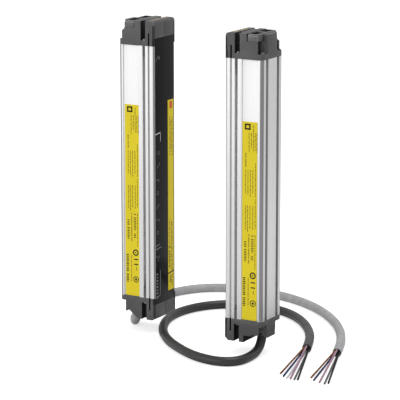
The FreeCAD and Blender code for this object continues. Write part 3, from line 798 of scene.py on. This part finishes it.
@dataclass
class SideLabelPrint:
    """The print on a long yellow side label, with plain dashes for words."""

    name: str
    corner: Point
    small_height: float = 0.9
    step: float = 1.2

    def __post_init__(self) -> None:
        """Open the label's face, with its corner at the left and at height zero."""
        self.page = Page(self.corner, (1.0, 0.0, 0.0), (0.0, 0.0, 1.0), (0.0, -1.0, 0.0))

    def build(self) -> None:
        """Print the square, the blocks of small lines, the bold lines and the round marks."""
        self.page.frame_line("black", (4.25, 46.1), (3.5, 3.2), 1.15)
        self._small_lines()
        for row in (
            ("text", 2.8, 27.0, 16.0, 1.2, 2), ("dark", 2.6, -37.1, -53.2, 1.9, 3),
            ("text", 8.3, -32.4, -45.7, 2.1, 6), ("text", 8.2, -47.4, -51.4, 2.0, 1),
            ("text", 5.4, -32.0, -54.3, 1.2, 5), ("black", 1.75, -63.8, -86.2, 2.2, 8),
        ):
            self.page.letters(Row(*row))
        self._round_marks()
        self.page.finish(f"{self.name}_side_print", "yellow_label")

    def _small_lines(self) -> None:
        """Print the blocks of small lines, each given by its columns and its two ends."""
        blocks = (
            ((5.4, 7.3, 10.3, 11.7), 41.8, 27.8), ((8.9,), 47.4, 27.8),
            ((2.7, 4.6, 6.5, 8.5), 15.0, -4.7), ((10.7,), 20.2, -4.7),
            ((2.8, 4.4, 6.3, 8.6), -11.0, -30.2), ((10.6,), -5.9, -30.0),
            ((10.5,), -32.1, -57.7), ((5.1,), -64.4, -85.8), ((9.4,), -73.1, -78.2),
        )
        for number, (columns, high, low) in enumerate(blocks):
            for index, u in enumerate(columns):
                end, seed = low + self.step * ((index * 2 + number) % 3), 3 * number + index
                self.page.words(Row("text", u, high, end, self.small_height, seed))

    def _round_marks(self) -> None:
        """Print the ring, the two bars and the second ring low on the label."""
        page = self.page
        page.ring("black", (8.8, -62.2), 2.5, 0.95)
        page.bar("black", (8.8, -62.2), (1.0, 1.0))
        page.bar("black", (9.0, -67.4), (3.6, 0.9))
        page.bar("black", (9.0, -71.2), (3.6, 0.9))
        page.ring("black", (9.0, -82.8), 2.4, 0.6)
        page.bar("black", (9.0, -82.8), (1.6, 1.6), math.pi / 4)


@dataclass
class WindowPrint:
    """The pale marks on the emitter's window, and its narrow label with print."""

    face: float = 30.0
    strip_face: float = 30.2
    thickness: float = 0.03
    label_edge: float = 13.0
    label_trim: float = 1.2
    mark_places: tuple[Pair, ...] = (
        (-8.6, 14.2), (-8.8, 5.0), (-10.1, -5.9), (-10.2, -15.8), (-10.0, -25.9), (-10.0, -36.1),
        (-10.4, -45.8),
    )

    def __post_init__(self) -> None:
        """Open a page on the window and one on the label."""
        self.window, self.strip = (
            Page((x, 0.0, 0.0), (0.0, 1.0, 0.0), (0.0, 0.0, 1.0), (1.0, 0.0, 0.0), self.thickness)
            for x in (self.face, self.strip_face)
        )

    def narrow(self, point: Vector) -> Vector:
        """Move the label's far edge inwards."""
        if point.y > self.label_edge:
            point.y -= self.label_trim
        return point

    def build(self) -> None:
        """Lay the label, and print the status marks, the brackets and the label's fields."""
        Skin(
            "emitter_front_label", (YELLOW,), "yellow_label", 0.0, Matrix.Identity(4),
            shape=self.narrow,
        ).build()
        self._status_marks()
        self._brackets()
        self.window.finish("emitter_window_print", "dark_window")
        strip = self.strip
        strip.bar("orange", (8.75, 47.9), (4.1, 5.3))
        for row in (
            (7.3, 39.1, 9.8, 1.5, 0, 0.6), (9.0, 36.0, 12.5, 1.1, 4, 0.6),
            (10.7, 38.6, 9.3, 1.3, 7, 0.6), (6.8, -38.4, -58.0, 1.3, 2, 0.6),
            (9.9, -41.0, -78.4, 1.5, 1, 0.7), (10.2, -81.6, -89.8, 1.4, 8, 0.6),
        ):
            strip.words(Row("brown", *row))
        strip.letters(Row("black", 6.6, -58.6, -78.4, 2.2, 5))
        strip.line("black", (4.2, -80.3), (12.2, -79.2), 1.0)
        strip.letters(Row("black", 7.9, -82.0, -90.6, 2.4, 3))
        strip.finish("emitter_front_print", "yellow_label")

    def _status_marks(self) -> None:
        """Print a small plain mark beside each status light."""
        for index, (u, v) in enumerate(self.mark_places):
            if index % 3 == 0:
                self.window.frame_line("dim", (u, v), (2.4, 2.2), 0.5)
            elif index % 3 == 1:
                self.window.line("dim", (u - 1.8, v - 1.6), (u + 1.4, v + 1.4), 0.6)
            else:
                self.window.line("dim", (u - 1.8, v), (u + 1.6, v + 0.2), 0.6)
                self.window.line("dim", (u + 1.6, v + 0.2), (u + 1.6, v - 1.8), 0.5)

    def _brackets(self) -> None:
        """Print the brackets, the fork and the outlined field on the window."""
        self.window.line("dim", (-12.4, 83.2), (-9.0, 86.6), 0.6)
        self.window.bar("dim", (-7.6, 85.0), (1.2, 2.4))
        for line in (
            ("pale", (-12.9, 28.6), (-6.1, 29.2), 0.9), ("pale", (-6.1, 29.2), (-6.1, 22.8), 0.6),
            ("dim", (-13.2, -55.6), (-7.5, -55.2), 0.8),
            ("mark", (-13.3, -58.4), (-5.5, -57.6), 0.6),
            ("dim", (-12.0, -63.8), (-9.6, -65.4), 0.7), ("dim", (-7.6, -64.0), (-9.6, -65.4), 0.7),
            ("dim", (-9.6, -65.4), (-9.6, -67.6), 0.7), ("mark", (-6.8, -75.5), (-6.8, -93.9), 0.5),
            ("mark", (-6.8, -93.9), (-12.5, -96.2), 0.5),
        ):
            self.window.line(*line)
        for index in range(8):
            size = (2.1, 1.1 - 0.5 * (index % 2))
            self.window.bar("mark", (-11.3, -77.6 - 2.4 * index), size)


# Screws
@dataclass
class CapScrews:
    """The four cross-recessed screws of one cap, in the frame of its bar.

    The tip's points are measured from its end, and the dome's are shares of the head.
    """

    places: tuple[Pair, ...] = ((20.7, 12.25), (20.7, -12.25), (3.45, 9.2), (3.45, -9.2))
    seat: float = 3.7
    tip: tuple[Pair, ...] = ((0.0, 0.0), (0.5, 0.0), (1.2, 0.7), (1.4, 1.5))
    shank_radius: float = 1.4
    shank_length: float = 10.7
    head_radius: float = 1.9
    head_height: float = 1.5
    dome: tuple[Pair, ...] = ((1.0, 0.45), (0.9, 0.75), (0.62, 0.93), (0.0, 1.0))
    recess_length: float = 2.2
    recess_width: float = 0.5
    recess_sink: float = 0.22
    steps: int = 32
    merge_distance: float = 0.001

    def add_screw(self, mesh: Mesh, spot: Matrix) -> None:
        """Add one screw, standing on the plane under its head.

        Args:
            mesh: the mesh that it joins.
            spot: its place.
        """
        outline = [(r, h - self.shank_length) for r, h in self.tip]
        outline += [(self.shank_radius, 0.0), (self.head_radius, 0.0)]
        outline += [(self.head_radius * r, self.head_height * h) for r, h in self.dome]
        points = [mesh.verts.new(spot @ to_metres((r, 0.0, h))) for r, h in outline]
        edges = [mesh.edges.new(pair) for pair in zip(points, points[1:])]
        bmesh.ops.spin(
            mesh, geom=points + edges, cent=spot.translation, axis=spot.col[2].to_3d(),
            angle=FULL_TURN, steps=self.steps, use_merge=True,
        )

    def add_recess_shade(self, mesh: Mesh, spot: Matrix) -> None:
        """Add the dark cross that stands for the driver's recess, as painted shade in place of the
        hollow.

        Args:
            mesh: the mesh that it joins.
            spot: its place.
        """
        lift = Matrix.Translation(to_metres((0.0, 0.0, self.head_height - self.recess_sink)))
        long, thin = self.recess_length, self.recess_width
        for wide, tall in ((long, thin), (thin, long)):
            add_box(mesh, spot @ lift, (wide, tall, thin))

    def build(self, name: str, place: Matrix) -> None:
        """Put the screws in their cap.

        Args:
            name: the name of the screws' node.
            place: the place of the cap's lower face.
        """
        steel, shade_crosses = bmesh.new(), bmesh.new()
        for x, y in self.places:
            spot = place @ Matrix.Translation(to_metres((x, y, self.seat)))
            self.add_screw(steel, spot)
            self.add_recess_shade(shade_crosses, spot)
        close_up(steel, self.merge_distance)
        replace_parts(keep_piece(f"{name}_steel", steel, (STEEL,)), name)
        # The cross takes the dark carrier plastic as painted shade.
        keep_piece(f"{name}_recess", shade_crosses, (CARRIER,))


# Bars
class Side(Enum):
    """Which of the two bars it is."""

    EMITTER = "emitter"
    RECEIVER = "receiver"


class Zone(NamedTuple):
    """A part of the bar's section, with its distances from the bar's middle plane."""

    back: float
    front: float
    inner: float
    outer: float

    def holds(self, point: Vector) -> bool:
        """Return whether a point lies in the zone, on either side of the bar."""
        return self.back < point.x < self.front and self.inner < abs(point.y) <= self.outer


@dataclass
class Bar:
    """One bar: its shell, screen, labels, screws and inner pieces.

    The last four fields are limits for the parts of a face's direction.
    """

    side: Side
    corner: Point = (0.0, 0.0, 0.0)
    turn: float = 0.0
    label_corner: Point = (4.4, -14.4, 0.0)
    label_lift: float = 1.05
    profile_top: float = 94.2
    profile_bottom: float = -95.8
    profile_rounding: float = 0.12
    window_rounding: float = 0.15
    cap_rounding: float = 0.25
    insert_rounding: float = 0.35
    width: float = 30.0
    # Zones of the section where painted shade (rear corners, trim grooves, rear channels, cap seam,
    # cap hollows) or painted light (side slots) is laid.
    rear_corner: Zone = Zone(-1.0, 2.8, 12.3, 15.1)
    side_slot: Zone = Zone(17.5, 23.5, 9.0, 14.9)
    trim_groove: Zone = Zone(23.9, 25.7, 13.7, 14.97)
    rear_channel: Zone = Zone(0.1, 5.4, 3.0, 12.4)
    cap_seam: Zone = Zone(28.5, 29.98, -1.0, 0.7)
    cap_core: Zone = Zone(4.9, 29.6, -1.0, 14.6)
    cap_floor: float = 4.6
    window_edge: float = 13.9
    window_trim: float = 0.95
    window_top: float = 100.0
    window_bottom: float = -100.6
    lip_width: float = 1.25
    lip_depth: float = 1.75
    lip_radius: float = 1.0
    # Size of the strips on the caps' front corners that are painted dark as shade.
    shade_strip_top: float = 109.3
    shade_strip_bottom: float = -110.3
    shade_strip_depth: float = 1.3
    shade_strip_radius: float = 0.25
    shade_strip_lift: float = 0.04
    strip_segments: int = 4
    pocket_border: float = 0.6
    pocket_draft: float = 0.1
    pocket_depth: float = 1.2
    pocket_gap: float = 1.4
    pocket_area: float = 40.0
    sloping: float = 0.2
    upright: float = 0.05
    steep: float = 0.5
    level: float = 0.9999

    def __post_init__(self) -> None:
        """Work out the bar's name and its place: the receiver is turned to face the emitter."""
        self.name = self.side.value
        turn = Matrix.Rotation(self.turn, 4, "Z")
        self.place = Matrix.Translation(to_metres(self.corner)) @ turn

    def build(self) -> None:
        """Build and dress everything on the bar."""
        self._dress_inside()
        # The profile's corners and grooves get painted shade, and its side slots painted light.
        self._skin(
            "profile", (ALUMINIUM, SHADED_CORNER_ALUMINIUM, SHADED_GROOVE_ALUMINIUM, LIT_SLOT_ALUMINIUM),
            "aluminium", self.profile_rounding, sort=self.sort_profile,
        ).build()
        self._skin(
            "front_window", (SCREEN,), "dark_window", self.window_rounding,
            shape=self.narrow_window,
        ).build()
        # The caps get a painted highlight on their rounded edges and painted shade in their
        # hollows.
        for end in ("top", "bottom"):
            self._skin(
                f"{end}_cap", (CAP, CAP_EDGE_HIGHLIGHT, CAP_RECESS_SHADE), "cap_plastic", self.cap_rounding,
                sort=self.sort_cap,
            ).build()
        self._insert()
        self._lips()
        self._screws()
        self._skin("side_label", (YELLOW,), "yellow_label", 0.0, shape=self.raise_label).build()
        dress(f"{self.name}_top_sticker", FOIL)
        SideLabelPrint(self.name, self.label_corner).build()

    def _skin(
        self, part: str, finishes: tuple[Finish, ...], slot: str, width: float,
        **changes: Sorter | Shaper,
    ) -> Skin:
        """Return the skin of one of the bar's nodes."""
        return Skin(f"{self.name}_{part}", finishes, slot, width, self.place, **changes)

    def sort_profile(self, face: Facet) -> Facing:
        """Tell a profile face's finish: EDGE for painted shade on the rear corners' chamfers, SLOT
        for painted light in the side slots, RECESS for painted shade in thin hollows.

        Args:
            face: the face.

        Returns:
            Its finish.
        """
        slopes = min(abs(face.normal.x), abs(face.normal.y)) > self.sloping
        if slopes and self.rear_corner.holds(face.centre):
            return Facing.EDGE
        if self.side_slot.holds(face.centre):
            return Facing.SLOT
        hollows = (self.trim_groove, self.rear_channel)
        hollow = any(zone.holds(face.centre) for zone in hollows)
        return Facing.RECESS if hollow else Facing.MAIN

    def sort_cap(self, face: Facet) -> Facing:
        """Tell a cap face's finish: painted shade (RECESS) in the screw channels, the hollows and
        on the front seam, and a painted highlight (EDGE) on rounded edges.

        Args:
            face: the face.

        Returns:
            Its finish.
        """
        height, rise = face.centre.z, abs(face.normal.z)
        if self.cap_seam.holds(face.centre) and rise < self.upright:
            return Facing.RECESS
        if face.rounded:
            return Facing.EDGE
        above = max(height - self.profile_top, self.profile_bottom - height)
        inside = rise < self.steep or above < self.cap_floor
        in_shade = inside and self.cap_core.holds(face.centre)
        return Facing.RECESS if in_shade else Facing.MAIN

    def narrow_window(self, point: Vector) -> Vector:
        """Move the window's edges inwards, where the profile's lips take their place."""
        if abs(point.y) > self.window_edge:
            point.y -= math.copysign(self.window_trim, point.y)
        return point

    def raise_label(self, point: Vector) -> Vector:
        """Move the label's upper end up."""
        if point.z > 0.0:
            point.z += self.label_lift
        return point

    def _insert(self) -> None:
        """Put the blanking piece in the top cap, with a painted highlight on its rounded edges and
        two pockets in its top that are painted dark as shade.
        """
        skin = self._skin(
            "top_cap_insert", (INSERT, CAP_EDGE_HIGHLIGHT, CAP_RECESS_SHADE), "cap_plastic",
            self.insert_rounding, sort=lambda face: Facing(face.rounded),
        )
        mesh = skin.mesh()
        across = self.place.to_3x3() @ Vector((0.0, 1.0, 0.0))
        for hand in (-1, 1):
            cut = self.place @ to_metres((0.0, hand * self.pocket_gap, 0.0))
            bmesh.ops.bisect_plane(
                mesh, geom=mesh.verts[:] + mesh.edges[:] + mesh.faces[:], plane_co=cut,
                plane_no=across,
            )
        crest = max(vert.co.z for vert in mesh.verts)
        pockets = [
            face for face in mesh.faces
            if face.normal.z > self.level and face.calc_area() > self.pocket_area * MM * MM
            and crest - face.calc_center_median().z < CLOSE
        ]
        bmesh.ops.inset_individual(mesh, faces=pockets, thickness=self.pocket_border * MM)
        walls = bmesh.ops.inset_individual(
            mesh, faces=pockets, thickness=self.pocket_draft * MM, depth=-self.pocket_depth * MM
        )
        # The pockets' floors and walls take painted shade.
        for face in (*pockets, *walls["faces"]):
            face.material_index = Facing.RECESS
        skin.keep(mesh)

    def _strip(self, mesh: Mesh, hand: int, low: Point, high: Point, radius: float) -> None:
        """Add an upright strip at a front corner.

        Args:
            mesh: the mesh that it joins.
            hand: 1 or -1, the side of the bar.
            low: its lowest corner, with the side's sign left out.
            high: its highest corner.
            radius: the rounding of its outer edge.
        """
        x, y, z = ((a + b) / 2 for a, b in zip(low, high))
        spot = Matrix.Translation(to_metres((x, hand * y, z)))
        corners = add_box(mesh, spot, [b - a for a, b in zip(low, high)])
        outer = {
            vert for vert in corners
            if abs(vert.co.x - high[0] * MM) < CLOSE and abs(abs(vert.co.y) - high[1] * MM) < CLOSE
        }
        edges = {edge for vert in outer for edge in vert.link_edges if outer.issuperset(edge.verts)}
        # The rounded faces take the piece's second finish: painted shade on the lips and on the
        # strips.
        for face in round_edges(mesh, list(edges), radius, self.strip_segments):
            face.material_index = Facing.EDGE

    def _lips(self) -> None:
        """Add the profile's lips beside the window, with painted shade on their rounded edges, and
        the strips on the caps' front corners, painted dark as shade.
        """
        half, front = self.width / 2, self.width
        inner, lift = half - self.lip_width, self.shade_strip_lift
        lips, shade_strips = bmesh.new(), bmesh.new()
        for hand in (-1, 1):
            self._strip(
                lips, hand, (front - self.lip_depth, inner, self.profile_bottom),
                (front, half, self.profile_top), self.lip_radius,
            )
            for depth, low, high in (
                (self.lip_depth, self.profile_top, self.window_top),
                (self.lip_depth, self.window_bottom, self.profile_bottom),
                (self.shade_strip_depth, self.window_top, self.shade_strip_top),
                (self.shade_strip_depth, self.shade_strip_bottom, self.window_bottom),
            ):
                self._strip(
                    shade_strips, hand, (front - depth, inner, low), (front + lift, half + lift, high),
                    self.shade_strip_radius,
                )
        for mesh, finishes, word, slot in (
            (lips, (ALUMINIUM, SHADED_CORNER_ALUMINIUM), "front_lips", "aluminium"),
            (shade_strips, (CAP_RECESS_SHADE, CAP_RECESS_SHADE), "corner_shade_strips", "cap_plastic"),
        ):
            mesh.transform(self.place)
            keep_piece(f"{self.name}_{word}", mesh, finishes)

    def _dress_inside(self) -> None:
        """Dress the pieces that the shell hides."""
        finishes = {
            "window_seal": RUBBER, "top_gasket": RUBBER, "bottom_gasket": RUBBER,
            "cable_grommet": RUBBER, "optics_carrier": CARRIER, "lens_strip": LENS,
            "light_guides": LENS, "diodes": DIODE, "circuit_board": BOARD, "board_chips": CHIP,
        }
        for piece, finish in finishes.items():
            dress(f"{self.name}_{piece}", finish)

    def _screws(self) -> None:
        """Put the screws in both caps."""
        for end, height, turn in (
            ("top", self.profile_top, 0.0), ("bottom", self.profile_bottom, math.pi)
        ):
            seat = self.place @ Matrix.Translation(to_metres((0.0, 0.0, height)))
            screws = f"{self.name}_{end}_cap_screws"
            CapScrews().build(screws, seat @ Matrix.Rotation(turn, 4, "X"))


# Cables
def cord_line(name: str, points: Sequence[Point], radius: float) -> Piece:
    """Draw a cord through its route's points.

    Args:
        name: the cord's name.
        points: the control points in millimetres.
        radius: its radius in millimetres.

    Returns:
        The curve.
    """
    curve = bpy.data.curves.new(name, "CURVE")
    curve.dimensions = "3D"
    spline = curve.splines.new("NURBS")
    spline.points.add(len(points) - 1)
    for control, point in zip(spline.points, points):
        control.co = (*to_metres(point), 1.0)
    spline.order_u = 3
    spline.use_endpoint_u = True
    spline.use_smooth = True
    curve.resolution_u = 8
    curve.bevel_depth = radius * MM
    curve.bevel_resolution = 5
    curve.use_fill_caps = True
    return put(name, curve)


def line_length(piece: Piece) -> float:
    """Measure a cord's own line.

    Args:
        piece: the cord's curve.

    Returns:
        The line's length in metres.
    """
    data = piece.data.copy()
    data.bevel_depth = 0.0
    data.use_fill_caps = False
    bare = put("bare_line", data)
    bpy.context.view_layer.update()
    mesh = bpy.data.meshes.new_from_object(
        bare.evaluated_get(bpy.context.evaluated_depsgraph_get())
    )
    ends = ((mesh.vertices[index].co for index in edge.vertices) for edge in mesh.edges)
    total = sum((first - second).length for first, second in ends)
    bpy.data.objects.remove(bare)
    bpy.data.meshes.remove(mesh)
    return total


@dataclass
class Cable:
    """A cable that lies on the surface below the bars, with its bare wires."""

    name: str
    start: tuple[Point, ...]
    floor_points: tuple[Pair, ...]
    wires: dict[str, tuple[float, float, Pair]]
    radius: float = 3.4
    # Size of the dark disc at the sheath's end, partly painted shade.
    roots_and_shade_radius: float = 2.9
    roots_and_shade_length: float = 0.8
    roots_and_shade_segments: int = 24
    wire_radius: float = 0.72
    ring: float = 1.9
    stub: float = 1.0
    bend: float = 0.4
    middle: float = 65.5
    floor: float = -122.8

    def _on_plan(self, x: float, y: float, height: float) -> Point:
        """Return a route point in the frame, from the middle between the windows."""
        return (x + self.middle, y, height + self.floor)

    def route(self) -> list[Point]:
        """Return the cable's route."""
        flat = [(x, y, self.radius) for x, y in self.floor_points]
        return [self._on_plan(*point) for point in (*self.start, *flat)]

    def wire_route(self, colour: str) -> list[Point]:
        """Return the route of one wire, which starts on the cable's end.

        Args:
            colour: the wire's colour.

        Returns:
            Its control points in millimetres.
        """
        sideways, upward, tip = self.wires[colour]
        before, end = (Vector(point) for point in self.route()[-2:])
        heading = (end - before).normalized()
        lateral = Vector((heading.y, -heading.x, 0.0))
        start = end + lateral * (sideways * self.ring) + Vector((0, 0, upward * self.ring))
        turn = start + heading * self.stub
        last = Vector(self._on_plan(*tip, self.wire_radius))
        return [tuple(point) for point in (start, turn, turn.lerp(last, self.bend), last)]

    def build(self) -> None:
        """Lay the cable and its wires."""
        route = self.route()
        cable = cord_line(f"{self.name}_jacket", route, self.radius)
        node = f"{self.name}_cable"
        self._declare(cable, route, JACKETS[self.name], node, [self.roots_and_shade()])
        for colour in self.wires:
            route = self.wire_route(colour)
            node = f"{self.name}_wire_{colour}"
            wire = cord_line(f"{self.name}_{colour}_lead", route, self.wire_radius)
            self._declare(wire, route, WIRES[colour], node)

    def roots_and_shade(self) -> Piece:
        """Return the dark disc at the sheath's end around the wires: partly the wires' dark roots,
        partly painted shade inside the sheath.
        """
        before, end = (Vector(point) for point in self.route()[-2:])
        turn = (end - before).to_track_quat("Z", "Y").to_matrix().to_4x4()
        mesh = bmesh.new()
        bmesh.ops.create_cone(
            mesh, cap_ends=True, segments=self.roots_and_shade_segments, radius1=self.roots_and_shade_radius * MM,
            radius2=self.roots_and_shade_radius * MM, depth=self.roots_and_shade_length * MM,
            matrix=Matrix.Translation(end * MM) @ turn,
        )
        return keep_piece(f"{self.name}_cable_roots_and_shade", mesh, (CARRIER,))

    def _declare(
        self, piece: Piece, route: list[Point], finish: Finish, node: str,
        others: Sequence[Piece] = (),
    ) -> None:
        """Finish a cord, hide the node that it stands for, and log its length.

        Args:
            piece: the curve.
            route: its control points.
            finish: its finish.
            node: the node that it stands for.
            others: the pieces on it; not used.
        """
        piece.data.materials.append(finish.material())
        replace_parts(piece, node)
        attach(piece, "root")
        length = line_length(piece)
        tuple(to_metres(route[0]))
        log.info("%s: %.1f mm long", piece.name, length / MM)


EMITTER_CABLE = Cable(
    "emitter",
    ((-58.5, 0.0, 22.0), (-58.6, -0.3, 15.0), (-60.6, -2.0, 3.4)),
    (
        (-67.8, 8.4), (-71.8, 19.0), (-77.0, 33.5), (-81.5, 50.0), (-83.6, 67.5),
        (-82.4, 85.5), (-76.2, 103.0), (-65.2, 117.0), (-48.8, 125.6), (-27.5, 127.7),
        (-5.1, 124.2), (16.0, 116.9), (35.9, 105.4), (55.1, 89.7), (73.7, 69.1),
        (88.8, 46.9), (100.7, 23.2), (107.2, 6.2), (110.8, -3.9),
    ),
    {
        "brown": (0.8, 0.55, (119.7, -61.9)),
        "blue": (0.85, -0.5, (124.3, -66.8)),
        "pink": (0.0, 1.0, (130.2, -69.7)),
        "grey": (-0.3, -0.92, (134.7, -70.8)),
        "black": (-0.95, 0.2, (136.3, -67.9)),
    },
)
RECEIVER_CABLE = Cable(
    "receiver",
    ((58.5, -20.0, 22.0), (58.5, -20.0, 14.9), (58.8, -23.4, 7.6), (59.6, -30.0, 4.2)),
    (
        (60.6, -37.8), (61.3, -47.2), (60.2, -57.8), (53.2, -65.2), (41.2, -66.8),
        (24.2, -61.8), (6.5, -50.6), (-10.9, -36.8), (-26.3, -18.8), (-37.0, -0.6),
        (-44.5, 19.2), (-46.6, 39.2), (-42.7, 58.1), (-32.4, 74.2), (-15.7, 84.5),
        (5.0, 86.3), (25.9, 80.2), (45.0, 66.0), (61.4, 46.5), (74.4, 25.1),
        (82.8, 5.3), (86.9, -5.3),
    ),
    {
        "brown": (0.87, 0.5, (96.2, -63.4)),
        "blue": (0.9, -0.45, (101.2, -68.3)),
        "white": (0.2, -0.98, (105.5, -71.3)),
        "pink": (0.0, 1.0, (108.4, -71.4)),
        "grey": (-0.6, -0.8, (111.7, -72.0)),
        "black": (-0.95, 0.2, (113.9, -70.9)),
    },
)


# Studio
@dataclass(frozen=True)
class Lamp:
    """A soft square lamp that shines on the bars, with its size in millimetres and its watts."""

    name: str
    place: Point
    size: float
    power: float
    aim: Point = (65.0, -10.0, 0.0)

    def hang(self) -> None:
        """Put the lamp in its place and turn it to the bars."""
        light = bpy.data.lights.new(self.name, "AREA")
        light.size = self.size * MM
        light.energy = self.power
        lamp = put(self.name, light)
        lamp.location = to_metres(self.place)
        heading = to_metres(self.aim) - lamp.location
        lamp.rotation_euler = heading.to_track_quat("-Z", "Y").to_euler()


@dataclass
class Studio:
    """The camera, the pale floor and the soft lamps."""

    lamps: tuple[Lamp, ...] = (
        Lamp("front_lamp", (-900.0, -1400.0, 300.0), 1950.0, 11.8),
        Lamp("top_lamp", (300.0, 100.0, 1300.0), 800.0, 7.0),
    )
    camera_place: Point = (923.86, -1511.11, 352.44)
    camera_turn: Point = (77.932, 0.0, 29.75)
    lens: float = 216.88
    sensor: float = 36.0
    sight: float = 20000.0
    floor_height: float = -122.9
    floor_size: float = 4000.0
    floor_colour: Colour = (0.85, 0.85, 0.85)
    floor_roughness: float = 0.9
    floor_light: float = 0.6
    world_light: float = 0.6
    black: Colour = (0.0, 0.0, 0.0)
    white: Colour = (1.0, 1.0, 1.0)

    def build(self) -> None:
        """Set up the view and the light."""
        scene = bpy.context.scene
        scene.view_settings.view_transform = "Standard"
        data = bpy.data.cameras.new("camera")
        data.lens = self.lens
        data.sensor_width = self.sensor
        data.clip_end = self.sight * MM
        camera = put("camera", data)
        camera.location = to_metres(self.camera_place)
        camera.rotation_euler = [math.radians(angle) for angle in self.camera_turn]
        scene.camera = camera
        self._world()
        self._floor()
        for lamp in self.lamps:
            lamp.hang()

    def _world(self) -> None:
        """Light softly from all round, with white where the camera sees it."""
        world = bpy.data.worlds.new("studio")
        bpy.context.scene.world = world
        world.use_nodes = True
        nodes = Nodes(world.node_tree)
        sockets = {"Value": nodes.seen(), "To Min": self.world_light}
        strength = nodes.add("ShaderNodeMapRange", {}, sockets)
        light = {"Color": self.white, "Strength": strength}
        background = nodes.add("ShaderNodeBackground", {}, light)
        nodes.node("ShaderNodeOutputWorld", {}, {"Surface": background})

    def _floor(self) -> None:
        """Lay the pale floor, which shows white and keeps a faint shadow."""
        mesh = bmesh.new()
        bmesh.ops.create_grid(
            mesh, x_segments=1, y_segments=1, size=self.floor_size * MM,
            matrix=Matrix.Translation((0.0, 0.0, self.floor_height * MM)),
        )
        data = kept("floor", mesh)
        sheet = Sheet("pale_floor")
        sheet.surface(
            Base_Color=self.floor_colour, Roughness=self.floor_roughness, Specular_IOR_Level=0.0,
            Emission_Color=sheet.blend(sheet.seen(), self.black, self.white),
            Emission_Strength=self.floor_light,
        )
        data.materials.append(sheet.material)
        put("floor", data)


def main() -> None:
    """Build the whole scene in order."""
    logging.basicConfig(level=logging.INFO, format="%(name)s: %(message)s")
    Studio().build()
    EMITTER_CABLE.build()
    RECEIVER_CABLE.build()
    Bar(Side.EMITTER).build()
    Bar(Side.RECEIVER, (131.0, -20.0, 0.0), math.pi, label_corner=(114.6, -34.4, 0.0)).build()
    WindowPrint().build()


if __name__ == "__main__":
    main()
